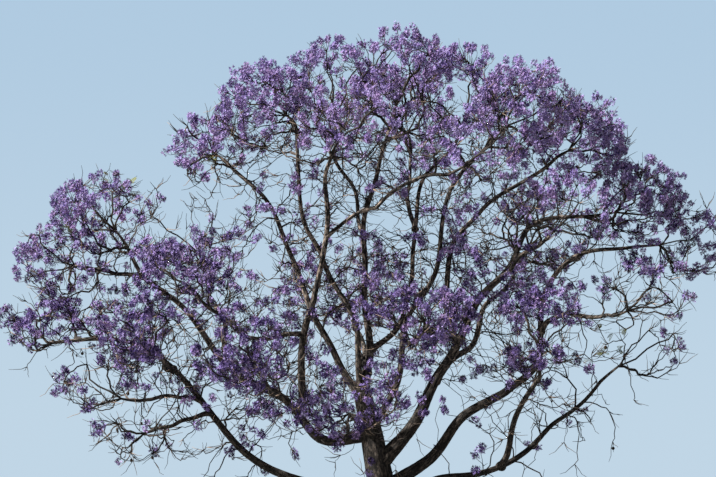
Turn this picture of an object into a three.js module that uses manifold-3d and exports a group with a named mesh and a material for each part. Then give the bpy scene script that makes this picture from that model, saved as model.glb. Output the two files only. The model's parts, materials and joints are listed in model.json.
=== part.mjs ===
// A full-grown jacaranda in blossom: one short leaning trunk, twenty-nine main boughs and the mass of
// flowering twigs that each bough carries. Millimetres, +Z up, +X to the tree's right as it is seen
// from the front, +Y away from there. The origin is the middle of the flat cut under the trunk.
import * as THREE from 'three';
import Module from 'manifold-3d';

const wasm = await Module();
wasm.setup();

// Trunk. It rises straight for a third of its height and then leans; its top is a low dome.
const TRUNK_TIP = [-590, 0, 4020];
const TRUNK_STRAIGHT = 0.35;
const TRUNK_FOOT_RADIUS = 470;
const TRUNK_TIP_RADIUS = 245;
const TRUNK_TAPER = 0.8;
const TRUNK_SIDES = 12;
const TRUNK_RINGS = 8;
const TRUNK_CROWDING = 1.4;
const FLARE = 0.75;
const FLARE_HEIGHT = 420;
const ROOT_LOBES = 5;
const LOBE_DEPTH = 0.16;
const LOBE_TURN = 0.6;
const DOME_HEIGHT = 150;
const DOME = [[0.7, 0.72], [1, 0.216]];

// Boughs. Each swells into a collar where it leaves its parent and sways a little on its way.
const BOUGH_TIP_RADIUS = 46;
const BOUGH_TAPER = 0.75;
const BOUGH_RINGS = [4, 10];
const RING_STEP = 1000;
const RING_CROWDING = 1.15;
const BOUGH_SIDES = [[120, 8], [75, 6], [0, 5]];
const COLLAR = 0.55;
const COLLAR_REACH = 1.4;
const COLLAR_RING = 0.6;
const SWAY = 0.022;
const SWAY_TURNS = [1.5, 2.2];

// Where each bough leaves its parent, how thick it is there, where its tip is, how far it bows out of
// the straight line at even shares of its way (sideways, up), and the middle and reach of its mass
const LIMBS = [
  { place: 'upper_left', on: 'trunk', at: 0.96, foot: 92, tip: [-2390, -800, 11180],
    bows: [[40, 20], [240, 90], [-50, 120], [-500, -170], [-210, 20]],
    crown: [-3250, -1000, 11450], reach: [1550, 2200, 1550] },
  { place: 'top', on: 'trunk', at: 0.96, foot: 128, tip: [160, -200, 11320],
    bows: [[-10, -250], [-320, -50], [-180, -30], [-530, 50], [-240, 0]],
    crown: [460, -300, 12610], reach: [1500, 2100, 1500] },
  { place: 'top_right', on: 'top', at: 0.21, foot: 82, tip: [1860, 1300, 10880],
    bows: [[400, -230], [350, -200], [-60, -10], [-120, 20], [-320, 200]],
    crown: [2050, 1300, 12450], reach: [1400, 2100, 1400] },
  { place: 'outer_right', on: 'trunk', at: 0.5, foot: 200, tip: [5570, -300, 8860],
    bows: [[150, 10], [-330, 380], [-380, 590], [-390, 580], [-760, 900]],
    crown: [6890, 0, 9200], reach: [1450, 2100, 1300] },
  { place: 'far_right', on: 'trunk', at: 0.33, foot: 175, tip: [6710, 400, 8080],
    bows: [[230, -70], [110, 140], [610, -240], [250, -340], [-560, 560], [-460, 660]],
    crown: [8360, 400, 8140], reach: [1400, 1900, 1200] },
  { place: 'shoulder_left', on: 'trunk', at: 0.7, foot: 150, tip: [-6990, 0, 8100],
    bows: [[-350, -980], [-260, -730], [-520, -530], [-660, -190], [-490, -100]],
    crown: [-7700, 300, 8900], reach: [1400, 2100, 1300] },
  { place: 'low_left', on: 'trunk', at: 0.3, foot: 145, tip: [-9110, 800, 5500],
    bows: [[-220, -420], [-260, -280], [-80, -90], [20, 1000], [670, 790]],
    crown: [-9200, 800, 5990], reach: [1400, 2000, 950] },
  { place: 'upper_right', on: 'trunk', at: 0.7, foot: 102, tip: [2830, -900, 10820],
    bows: [[60, 0], [-120, 90], [-100, 40], [-370, 150], [-290, 240]],
    crown: [3750, -900, 11650], reach: [1500, 2100, 1450] },
  { place: 'droop_right', on: 'trunk', at: 0.26, foot: 125, tip: [5920, 1600, 4470],
    bows: [[0, -100], [90, -600], [470, -270], [250, -360]],
    crown: [7130, 1800, 5360], reach: [1350, 1900, 1050] },
  { place: 'front_low', on: 'trunk', at: 0.7, foot: 105, tip: [-880, -3800, 3350],
    bows: [[10, 40], [0, 50]], crown: [-1050, -5200, 3760], reach: [1600, 1800, 1100] },
  { place: 'top_left', on: 'top', at: 0.59, foot: 56, tip: [-1280, 1000, 10840],
    bows: [[20, -110], [60, 140], [-240, 400]],
    crown: [-1400, 1000, 12500], reach: [1450, 2100, 1550] },
  { place: 'high_left', on: 'trunk', at: 0.96, foot: 108, tip: [-4380, 900, 10500],
    bows: [[-90, -20], [-40, -150], [300, 220], [220, 70], [310, 210]],
    crown: [-4850, 900, 10800], reach: [1150, 1900, 1250] },
  { place: 'back_middle', on: 'top', at: 0.13, foot: 95, tip: [-960, 4200, 6560],
    bows: [[20, 40], [60, 30]], crown: [-1110, 6000, 7460], reach: [2400, 2100, 1400] },
  { place: 'back_top', on: 'top_right', at: 0.6, foot: 70, tip: [760, 2900, 10910],
    bows: [[-70, -40], [-230, -60], [-40, -110]],
    crown: [250, 4400, 12340], reach: [2400, 2200, 1300] },
  { place: 'front_top_left', on: 'shoulder_left', at: 0.25, foot: 125, tip: [-1430, -3200, 10100],
    bows: [[-30, -40], [-60, 250], [-210, -140], [160, 590], [50, 670]],
    crown: [-880, -4300, 10690], reach: [1500, 2000, 1250] },
  { place: 'front_middle', on: 'upper_right', at: 0.32, foot: 85, tip: [1000, -3800, 5590],
    bows: [[-40, -170], [-30, -160]], crown: [850, -5200, 5950], reach: [1500, 1800, 1100] },
  { place: 'shoulder_right', on: 'outer_right', at: 0.42, foot: 92, tip: [4700, 500, 10560],
    bows: [[-780, 170], [-1070, 400], [-1250, 560], [-1140, 350], [-270, 220]],
    crown: [5410, 400, 10850], reach: [1400, 2200, 1420] },
  { place: 'front_right_high', on: 'outer_right', at: 0.56, foot: 70, tip: [4080, -3400, 7930],
    bows: [[-70, 20], [-40, 30]], crown: [4400, -4400, 8400], reach: [1500, 2000, 1300] },
  { place: 'back_right', on: 'outer_right', at: 0.3, foot: 110, tip: [3900, 4200, 7990],
    bows: [[0, -170], [40, -80]], crown: [4500, 5400, 9080], reach: [2400, 2200, 1500] },
  { place: 'low_right', on: 'far_right', at: 0.65, foot: 85, tip: [5970, -1500, 6090],
    bows: [[-160, 280], [-100, 220], [210, 120]],
    crown: [6800, -1900, 6590], reach: [1400, 1900, 1050] },
  { place: 'front_right', on: 'droop_right', at: 0.48, foot: 100, tip: [3940, -3600, 4780],
    bows: [[30, 60], [210, 600], [170, 230]],
    crown: [3700, -4700, 5500], reach: [1500, 1900, 1100] },
  { place: 'front_top_right', on: 'front_top_left', at: 0.63, foot: 50, tip: [1550, -3000, 9660],
    bows: [[220, 330], [-50, 70], [50, 370]],
    crown: [2130, -4200, 10160], reach: [1500, 2000, 1200] },
  { place: 'front_left_high', on: 'front_top_left', at: 0.29, foot: 70, tip: [-4610, -2900, 6240],
    bows: [[-40, -120], [-130, -480], [-90, -410], [-50, -190]],
    crown: [-5120, -3900, 7240], reach: [1500, 1900, 1150] },
  { place: 'front_left', on: 'shoulder_left', at: 0.16, foot: 90, tip: [-3210, -4300, 4470],
    bows: [[-30, 30], [-50, 10]], crown: [-3530, -5600, 4990], reach: [1500, 1800, 1150] },
  { place: 'back_left', on: 'shoulder_left', at: 0.49, foot: 95, tip: [-5070, 3700, 7700],
    bows: [[100, -50], [70, -30]], crown: [-5800, 5000, 8900], reach: [2200, 2200, 1300] },
  { place: 'far_left', on: 'shoulder_left', at: 0.76, foot: 70, tip: [-7900, -600, 7430],
    bows: [[220, 60], [-60, 190], [10, 50]],
    crown: [-8820, -600, 7500], reach: [1200, 1900, 1150] },
  { place: 'front_low_left', on: 'low_left', at: 0.62, foot: 75, tip: [-5880, -2300, 5100],
    bows: [[-110, -130], [-60, -60]], crown: [-6380, -3300, 5570], reach: [1450, 1800, 1050] },
  { place: 'droop_left', on: 'low_left', at: 0.54, foot: 60, tip: [-6450, -700, 3900],
    bows: [[10, 100], [100, 110], [-40, 60]],
    crown: [-7700, -700, 4280], reach: [1400, 1900, 850] },
  { place: 'foot_left', on: 'low_left', at: 0.51, foot: 70, tip: [-6180, -1000, 3080],
    bows: [[0, 40], [-10, -20], [-30, 10]],
    crown: [-6640, -1200, 2910], reach: [1350, 1800, 750] },
];

// Twigs. Shares are of a mass's reach, of the way from the bough's tip to the mass's middle, or of a
// twig's own length.
const GOALS = 14;
const OUTERMOST = 0.86;
const HOLLOW = 0.25;
const STEM_SHARE = 0.45;
const STEM_BEND = 0.4;
const STEM_SIDES = 5;
const BALANCE = 0.4;
const TURN_COST = 0.5;
const FIRST_WAY = 0.17;
const UPTURN = 0.05;
const TWIG_SWELL = 1.25;
const TWIG_SINK = 0.9;

// Sprays of blossom, at a twig's end: where the wood stops, where the spray is widest and where it
// ends, as shares of its size
const SPRAY_SHARE = 0.3;
const SPRAY_SPREAD = [0.85, 1.15];
const SPRAY_STEPS = [-0.6, 0.15, 1.2];
const SPRAY_WIDTH = 0.7;
const SPRAY_SHRINK = [1, 0.8, 0.62];

// Clearances
const GAP = 0.4;
const SMALLEST_IN_MASS = 4;
const SMALLEST_ON_LIMB = 0.2;
const SPACE_LIMIT = 1.06;
const SPACE_MARGIN = 0.05;
const LIMB_MARGIN = 70;
const OWN_TIP = 0.86;
const LIMB_POINTS = 60;
const STEM_POINTS = 6;
const GOAL_TRIES = 40;

const GOLDEN = 0.618034;
const UP = new THREE.Vector3(0, 0, 1);
const v = (list) => new THREE.Vector3(...list);
const mix = THREE.MathUtils.lerp;

// The radical inverse: evenly spread numbers between 0 and 1, the same on every run
function spread(index, base) {
  let value = 0;
  let share = 1 / base;
  for (let rest = index; rest > 0; rest = Math.floor(rest / base)) {
    value += share * (rest % base);
    share /= base;
  }
  return value;
}

const shifted = (value, seed) => (value + seed * GOLDEN) % 1;

// A path's directions, and across them two more that don't twist along the way
function framesAlong(path) {
  const last = path.length - 1;
  const frames = path.map((_, i) => {
    const along = path[Math.min(i + 1, last)].clone().sub(path[Math.max(i - 1, 0)]).normalize();
    return { along };
  });
  const first = frames[0].along;
  const guide = Math.abs(first.x) < 0.8 ? new THREE.Vector3(1, 0, 0) : new THREE.Vector3(0, 1, 0);
  let side = guide.addScaledVector(first, -guide.dot(first)).normalize();
  for (const frame of frames) {
    side = side.clone().addScaledVector(frame.along, -side.dot(frame.along)).normalize();
    frame.side = side;
    frame.other = frame.along.clone().cross(side);
  }
  return frames;
}

function solidOf({ points, faces }) {
  const vertProperties = new Float32Array(points.flatMap((p) => p.toArray()));
  const triVerts = new Uint32Array(faces.flat());
  return new wasm.Manifold(new wasm.Mesh({ numProp: 3, vertProperties, triVerts }));
}

// Rings round a path, closed by a flat face at either end, or by a point where the last radius is 0.
// lobe(ring, angle) swells a ring's radius.
function tube(path, radii, sides, lobe = () => 1) {
  const points = [];
  const faces = [];
  const pointed = radii.at(-1) === 0;
  const rings = pointed ? path.length - 1 : path.length;
  framesAlong(path).slice(0, rings).forEach(({ side, other }, ring) => {
    for (let k = 0; k < sides; k += 1) {
      const angle = (2 * Math.PI * k) / sides;
      const radius = radii[ring] * lobe(ring, angle);
      points.push(path[ring].clone()
        .addScaledVector(side, radius * Math.cos(angle))
        .addScaledVector(other, radius * Math.sin(angle)));
    }
  });
  for (let ring = 0; ring < rings - 1; ring += 1) {
    for (let k = 0; k < sides; k += 1) {
      const a = ring * sides + k;
      const b = ring * sides + ((k + 1) % sides);
      faces.push([a, b, b + sides], [a, b + sides, a + sides]);
    }
  }
  const top = (rings - 1) * sides;
  for (let k = 1; k < sides - 1; k += 1) {
    faces.push([0, k + 1, k]);
    if (!pointed) {
      faces.push([top, top + k, top + k + 1]);
    }
  }
  if (pointed) {
    points.push(path.at(-1));
    for (let k = 0; k < sides; k += 1) {
      faces.push([top + k, top + ((k + 1) % sides), rings * sides]);
    }
  }
  return { points, faces };
}

// A point's place along a curve, with a slight sway to and fro that leaves both its ends in place
function swaying(curve, sway, seed) {
  const chord = curve.getPoint(1).sub(curve.getPoint(0));
  const side = new THREE.Vector3(chord.y, -chord.x, 0).normalize();
  const other = chord.clone().normalize().cross(side);
  const swing = (t, turns, base) => Math.sin(2 * Math.PI * (turns * t + spread(seed, base)));
  return (t) => {
    const width = sway * chord.length() * Math.sin(Math.PI * t);
    return curve.getPoint(t)
      .addScaledVector(side, width * swing(t, SWAY_TURNS[0], 2))
      .addScaledVector(other, width * swing(t, SWAY_TURNS[1], 3));
  };
}

const limbs = new Map();

function layTrunk() {
  const tip = v(TRUNK_TIP);
  const straight = new THREE.Vector3(0, 0, tip.z * TRUNK_STRAIGHT);
  const leaning = tip.clone().lerp(straight, TRUNK_STRAIGHT);
  const curve = new THREE.CubicBezierCurve3(new THREE.Vector3(), straight, leaning, tip);
  limbs.set('trunk', {
    point: (t) => curve.getPoint(t),
    radius: (t) => mix(TRUNK_FOOT_RADIUS, TRUNK_TIP_RADIUS, t ** TRUNK_TAPER),
  });
}

function layBough({ place, on, at, foot, tip, bows }, number) {
  const parent = limbs.get(on);
  const start = parent.point(at);
  const end = v(tip);
  const length = start.distanceTo(end);
  const bowed = bows.map(([sideways, up], i) =>
    start.clone().lerp(end, (i + 1) / (bows.length + 1)).add(new THREE.Vector3(sideways, 0, up)));
  const curve = new THREE.CatmullRomCurve3([start, ...bowed, end], false, 'catmullrom');
  const collar = COLLAR_REACH * parent.radius(at);
  const rings = THREE.MathUtils.clamp(Math.round(length / RING_STEP), ...BOUGH_RINGS);
  const ringsAt = Array.from({ length: rings }, (_, i) => (i / (rings - 1)) ** RING_CROWDING);
  ringsAt.splice(1, 0, Math.min(collar / length, ringsAt[1] * COLLAR_RING));
  limbs.set(place, {
    point: swaying(curve, SWAY, number + 1),
    radius: (t) => mix(foot, BOUGH_TIP_RADIUS, t ** BOUGH_TAPER)
      * (1 + COLLAR * Math.exp((-t * length) / collar)),
    ringsAt,
  });
}

layTrunk();
LIMBS.forEach(layBough);

function trunkSolid(extra = 0) {
  const { point, radius } = limbs.get('trunk');
  const steps = Array.from({ length: TRUNK_RINGS }, (_, i) => (i / (TRUNK_RINGS - 1)) ** TRUNK_CROWDING);
  const path = steps.map(point);
  const radii = steps.map((t) => radius(t) + extra);
  const tip = path.at(-1);
  const along = tip.clone().sub(path.at(-2)).normalize();
  for (const [rise, width] of DOME) {
    path.push(tip.clone().addScaledVector(along, (DOME_HEIGHT + extra) * rise));
    radii.push((TRUNK_TIP_RADIUS + extra) * width);
  }
  const flare = (ring, angle) => {
    const fade = Math.exp(-path[ring].z / FLARE_HEIGHT);
    return 1 + fade * (FLARE + LOBE_DEPTH * Math.cos(ROOT_LOBES * angle + LOBE_TURN));
  };
  // The first stretch stands upright on the flat cut
  path[1].x = path[0].x;
  return solidOf(tube(path, radii, TRUNK_SIDES, flare));
}

function boughSolid(place, extra = 0) {
  const { point, radius, ringsAt } = limbs.get(place);
  const [, sides] = BOUGH_SIDES.find(([least]) => radius(0.5) > least);
  return solidOf(tube(ringsAt.map(point), ringsAt.map((t) => radius(t) + extra), sides));
}

// The largest single piece of a cut solid, without scraps or sealed hollows
function mainPiece(solid) {
  const pieces = solid.decompose();
  return pieces.reduce((best, piece) => (piece.volume() > best.volume() ? piece : best));
}

const boxesMeet = (a, b) => [0, 1, 2].every((i) => a.min[i] <= b.max[i] && b.min[i] <= a.max[i]);

// Every limb is cut clear of the limbs laid before it
function cutLimbs() {
  const solids = new Map([['trunk', trunkSolid()]]);
  const keepOut = [trunkSolid(GAP)];
  for (const { place } of LIMBS) {
    let solid = boughSolid(place);
    for (const other of keepOut) {
      if (boxesMeet(solid.boundingBox(), other.boundingBox())) {
        solid = solid.subtract(other);
      }
    }
    solids.set(place, mainPiece(solid).simplify(SMALLEST_ON_LIMB));
    keepOut.push(boughSolid(place, GAP));
  }
  return solids;
}

// Points along every limb and every mass's first stem, with the radius to keep clear of
function limbPoints() {
  const found = [];
  const note = (owner, at, radius) => found.push({ owner, at, radius });
  for (const [place, { point, radius }] of limbs) {
    for (let i = 0; i <= LIMB_POINTS; i += 1) {
      const t = i / LIMB_POINTS;
      note(t < OWN_TIP ? place : `${place} tip`, point(t), radius(t));
    }
  }
  for (const { place, tip, crown } of LIMBS) {
    for (let i = 1; i <= STEM_POINTS; i += 1) {
      const share = (STEM_SHARE * i) / STEM_POINTS;
      note(`${place} tip`, v(tip).lerp(v(crown), share), BOUGH_TIP_RADIUS);
    }
  }
  return found;
}

const obstacles = limbPoints();

// How far out a point lies in a mass, 1 at the end of its reach
function depthIn({ crown, reach }, at) {
  return Math.hypot(...at.toArray().map((value, i) => (value - crown[i]) / reach[i]));
}

// A point belongs to the mass it lies deepest in, if every limb is clear of it
function belongs(mass, at) {
  const depth = depthIn(mass, at);
  if (depth > SPACE_LIMIT) {
    return false;
  }
  const ours = LIMBS.every((other) => other === mass || depthIn(other, at) > depth + SPACE_MARGIN);
  return ours && obstacles.every(({ owner, at: point, radius }) =>
    owner === `${mass.place} tip` || point.distanceTo(at) > radius + LIMB_MARGIN);
}

// The points that a mass's twigs reach for, evenly spread and thicker towards its outside
function goalsOf(mass, number, count) {
  const goals = [];
  for (let i = 1; goals.length < count && i < GOAL_TRIES * count; i += 1) {
    const out = OUTERMOST * Math.cbrt(mix(HOLLOW, 1, shifted(spread(i, 2), number)));
    const angle = 2 * Math.PI * shifted(spread(i, 3), number);
    const rise = mix(-1, 1, shifted(spread(i, 5), number));
    const flat = Math.sqrt(1 - rise * rise);
    const ball = [flat * Math.cos(angle), flat * Math.sin(angle), rise];
    const at = v(ball.map((value, axis) => mass.crown[axis] + mass.reach[axis] * out * value));
    if (belongs(mass, at)) {
      goals.push(at);
    }
  }
  return goals;
}

// Where a twig that leaves a node for a goal bends: it starts out the node's way and turns upwards
function bendOf(node, goal) {
  const length = node.at.distanceTo(goal);
  return node.at.clone().lerp(goal, 0.5)
    .addScaledVector(node.way, FIRST_WAY * length)
    .addScaledVector(UP, -UPTURN * length);
}

// The stem that a mass grows from, from just clear of its bough's tip
function stemOf({ place, crown }) {
  const { point, ringsAt } = limbs.get(place);
  const way = point(1).sub(point(ringsAt.at(-2))).normalize();
  const foot = point(1).addScaledVector(way, GAP);
  const toCrown = v(crown).sub(foot);
  const length = STEM_SHARE * toCrown.length();
  const lead = toCrown.normalize().add(way).normalize();
  const at = foot.clone().addScaledVector(lead, length);
  const bend = foot.clone().addScaledVector(way, length * STEM_BEND);
  const root = { at: foot, way, path: 0, load: 0 };
  return { at, way: at.clone().sub(bend).normalize(), path: length, load: 0, bend, parent: root };
}

// The goals are joined one by one, each time the one that is cheapest to reach: the length of the new
// twig, more for a sharp turn, and a share of the way from where it starts back to the bough
function growTwigs(mass, number, count) {
  const nodes = [stemOf(mass)];
  let open = goalsOf(mass, number, count);
  while (open.length > 0) {
    let best = { cost: Infinity };
    for (const goal of open) {
      for (const parent of nodes) {
        const line = goal.clone().sub(parent.at);
        const length = line.length();
        const turn = 1 - line.dot(parent.way) / length;
        const cost = length * (1 + TURN_COST * turn) + BALANCE * parent.path;
        if (cost < best.cost) {
          best = { cost, goal, parent, length };
        }
      }
    }
    const { goal, parent, length } = best;
    open = open.filter((other) => other !== goal);
    const bend = bendOf(parent, goal);
    if (belongs(mass, bend)) {
      const way = goal.clone().sub(bend).normalize();
      nodes.push({ at: goal, way, path: parent.path + length, load: 0, bend, parent });
    }
  }
  for (const node of nodes.slice(1)) {
    for (let below = node; below; below = below.parent) {
      below.load += 1;
    }
  }
  return nodes;
}

// A twig of three sides that ends in a spray of blossom, which shrinks until it keeps to its space.
// A twig that carries others bends on its way.
function flowering(mass, twig, thick, thin, half) {
  const bends = twig.load > 1;
  const wood = bends ? [twig.parent.at, twig.bend] : [twig.parent.at];
  const radii = bends ? [thick, thin, thin] : [thick, thin];
  for (const share of SPRAY_SHRINK) {
    const size = half * share;
    const spray = SPRAY_STEPS.map((step) => twig.at.clone().addScaledVector(twig.way, size * step));
    const shape = tube([...wood, ...spray], [...radii, size * SPRAY_WIDTH, 0], 3);
    if (shape.points.slice(3 * radii.length).every((corner) => belongs(mass, corner))) {
      return shape;
    }
  }
  return tube([...wood, twig.at], radii, 3);
}

// All the twigs of a mass, thinner the fewer ends they feed, each sunk in the one it grows from
function massSolid(mass, number) {
  const [stem, ...twigs] = growTwigs(mass, number, GOALS);
  const girth = (node) => BOUGH_TIP_RADIUS * Math.sqrt(node.load / stem.load);
  const stemEnd = stem.at.clone().addScaledVector(stem.way, BOUGH_TIP_RADIUS);
  const stemPath = [stem.parent.at, stem.bend, stemEnd];
  const shapes = [tube(stemPath, Array(stemPath.length).fill(BOUGH_TIP_RADIUS), STEM_SIDES)];
  const half = SPRAY_SHARE * Math.cbrt(mass.reach[0] * mass.reach[1] * mass.reach[2]);
  twigs.forEach((twig, i) => {
    const thin = girth(twig);
    const thick = Math.min(girth(twig.parent) * TWIG_SINK, thin * TWIG_SWELL);
    shapes.push(flowering(mass, twig, thick, thin, half * mix(...SPRAY_SPREAD, spread(i + 1, 3))));
  });
  return mainPiece(wasm.Manifold.union(shapes.map(solidOf)).simplify(SMALLEST_IN_MASS));
}

// Looks
const BARK = new THREE.MeshStandardMaterial({ name: 'bark', color: 0x6d6259, roughness: 0.95 });
const BLOSSOM = new THREE.MeshStandardMaterial({ name: 'blossom', color: 0x8f72bd, roughness: 0.8 });

function meshOf(name, solid, material) {
  const { vertProperties, triVerts } = solid.getMesh();
  const geometry = new THREE.BufferGeometry();
  geometry.setAttribute('position', new THREE.BufferAttribute(vertProperties, 3));
  geometry.setIndex(new THREE.BufferAttribute(triVerts, 1));
  geometry.computeVertexNormals();
  const mesh = new THREE.Mesh(geometry, material);
  mesh.name = name;
  return mesh;
}

const tree = new THREE.Group();
tree.name = 'jacaranda_tree';
for (const [place, solid] of cutLimbs()) {
  tree.add(meshOf(place === 'trunk' ? 'trunk' : `bough_${place}`, solid, BARK));
}
LIMBS.forEach((mass, number) => {
  tree.add(meshOf(`blossom_${mass.place}`, massSolid(mass, number), BLOSSOM));
});

export default tree;
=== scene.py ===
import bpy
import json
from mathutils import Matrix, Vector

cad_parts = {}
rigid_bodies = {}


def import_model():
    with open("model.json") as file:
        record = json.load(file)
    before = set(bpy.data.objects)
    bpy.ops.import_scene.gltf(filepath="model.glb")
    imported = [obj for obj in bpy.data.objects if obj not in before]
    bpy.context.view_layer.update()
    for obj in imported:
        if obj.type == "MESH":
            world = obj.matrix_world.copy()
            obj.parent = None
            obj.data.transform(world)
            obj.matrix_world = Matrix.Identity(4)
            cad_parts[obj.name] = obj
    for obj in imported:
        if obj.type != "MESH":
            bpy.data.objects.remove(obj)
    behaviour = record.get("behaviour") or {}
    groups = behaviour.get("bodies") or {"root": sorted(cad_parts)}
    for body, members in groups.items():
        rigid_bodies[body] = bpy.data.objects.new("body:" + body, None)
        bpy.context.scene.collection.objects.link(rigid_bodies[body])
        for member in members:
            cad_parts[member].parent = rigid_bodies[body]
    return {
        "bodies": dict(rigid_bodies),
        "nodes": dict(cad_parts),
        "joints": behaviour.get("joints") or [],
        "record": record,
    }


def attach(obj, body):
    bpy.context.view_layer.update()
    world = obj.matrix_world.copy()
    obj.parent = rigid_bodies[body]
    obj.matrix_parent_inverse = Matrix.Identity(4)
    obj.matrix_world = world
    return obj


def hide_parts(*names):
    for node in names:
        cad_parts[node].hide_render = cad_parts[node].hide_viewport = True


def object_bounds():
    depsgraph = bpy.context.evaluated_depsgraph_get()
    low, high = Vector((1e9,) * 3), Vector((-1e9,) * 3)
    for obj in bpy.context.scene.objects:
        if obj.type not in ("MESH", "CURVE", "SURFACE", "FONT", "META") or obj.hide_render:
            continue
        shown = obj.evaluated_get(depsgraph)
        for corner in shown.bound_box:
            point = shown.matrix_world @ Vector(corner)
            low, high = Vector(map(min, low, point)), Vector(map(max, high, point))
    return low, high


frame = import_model()
solid_box = [list(corner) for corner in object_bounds()]

import json
import math

import bpy
import numpy as np
from mathutils import Vector

SEED = 20
rng = np.random.default_rng(SEED)
print("solids reach from", np.round(solid_box[0], 2), "to", np.round(solid_box[1], 2))

# %% [markdown]
# The photograph was taken from far away, with a long lens that looks slightly upwards, so the
# tree's near and far boughs show at almost the same scale. A camera at eye height, 72 m off, gives
# the same view. Its focal length follows from the scale that is wanted at the tree's middle: a
# pixel of the 716 pixel wide picture stands for 27 mm there.
# %% Camera
PICTURE_WIDTH = 716
EYE = (-0.73, -72.0, 1.7)
AIMED_HEIGHT = 8.28
PIXEL = 0.027
SENSOR_WIDTH = 36
CLIP_END = 1000


def set_camera():
    """Tilt is the angle whose tangent is rise over distance, and the focal length is sensor width
    times the distance along the line of sight over the width that the picture takes in there."""
    away = -EYE[1]
    tilt = math.atan((AIMED_HEIGHT - EYE[2]) / away)
    lens = bpy.data.cameras.new("eye")
    lens.sensor_width = SENSOR_WIDTH
    lens.lens = SENSOR_WIDTH * away / math.cos(tilt) / (PIXEL * PICTURE_WIDTH)
    lens.clip_end = CLIP_END
    eye = bpy.data.objects.new("eye", lens)
    eye.location = EYE
    eye.rotation_euler = (math.pi / 2 + tilt, 0, 0)
    bpy.context.scene.collection.objects.link(eye)
    bpy.context.scene.camera = eye
    print(f"focal length {lens.lens:.1f} mm, tilted up {math.degrees(tilt):.1f} degrees")


set_camera()

# %% [markdown]
# All the fine things here, such as bark, twigs and flowers, are worked out as arrays and put into
# a mesh in one go. Modifiers or instances would be slower, and copies don't outlive an export.
# A mesh needs its points, and for its faces the point number at every corner.
# %% Meshes from arrays
UP = np.array([0, 0, 1.0])


def unit(vectors):
    """Each vector over its own length."""
    return vectors / np.linalg.norm(vectors, axis=-1, keepdims=True)


def mix(a, b, share):
    return a + (b - a) * share


def angles(count):
    """A full turn in that many even steps."""
    return 2 * np.pi * np.arange(count) / count


def mesh_piece(name, points, faces, looks, worn=None, smooth=True):
    """faces is a list of arrays of point numbers, one row for each face. worn gives, for each of
    those arrays, the number of the material that its faces wear."""
    mesh = bpy.data.meshes.new(name)
    corners = np.concatenate([block.ravel() for block in faces])
    sizes = np.concatenate([np.full(len(block), block.shape[1]) for block in faces])
    mesh.vertices.add(len(points))
    mesh.vertices.foreach_set("co", np.asarray(points, np.float32).ravel())
    mesh.loops.add(len(corners))
    mesh.loops.foreach_set("vertex_index", corners.astype(np.int32))
    mesh.polygons.add(len(sizes))
    mesh.polygons.foreach_set("loop_start", (np.cumsum(sizes) - sizes).astype(np.int32))
    for look in looks:
        mesh.materials.append(look)
    if worn is not None:
        mesh.polygons.foreach_set("material_index", np.concatenate(worn).astype(np.int32))
    mesh.update(calc_edges=True)
    if smooth:
        mesh.shade_smooth()
    piece = bpy.data.objects.new(name, mesh)
    bpy.context.scene.collection.objects.link(piece)
    print(f"{name}: {int((sizes - 2).sum())} triangles")
    return piece


def stand_in(piece, nodes):
    """Says what the piece rides on and which solids it replaces."""
    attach(piece, "root")
    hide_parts(*nodes)


def joined(parts):
    """Parts made alike, as (points, list of face arrays), in one: each part's point numbers go up
    by the number of points before it."""
    points = np.concatenate([part[0] for part in parts])
    starts = np.cumsum([0] + [len(part[0]) for part in parts[:-1]])
    shifted_faces = [block + start for part, start in zip(parts, starts) for block in part[1]]
    return points, shifted_faces

# %% [markdown]
# The trunk leans to the left and forks low down. Twenty-nine boughs leave it or one another, and
# each one bows on its way. Their sizes are the same as in the solids, in metres: what the bough
# grows on and how far up that, its foot's radius, its tip, how far it bows out of the straight
# line at even shares of its way (sideways, up), and the middle and the reach of the mass of
# blossom that it carries.
# %% Limbs
TRUNK_TIP = (-0.59, 0, 4.02)
TRUNK_STRAIGHT = 0.35
TRUNK_RADII = (0.47, 0.245)
TRUNK_TAPER = 0.8
BOUGH_TIP_RADIUS = 0.046
BOUGH_TAPER = 0.75
COLLAR = 0.55
COLLAR_REACH = 1.4
RING_STEP = 1.0
RING_RANGE = (4, 10)
RING_CROWDING = 1.15
SWAY = 0.022
SWAY_TURNS = (1.5, 2.2)
GOLDEN = 0.618034

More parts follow.
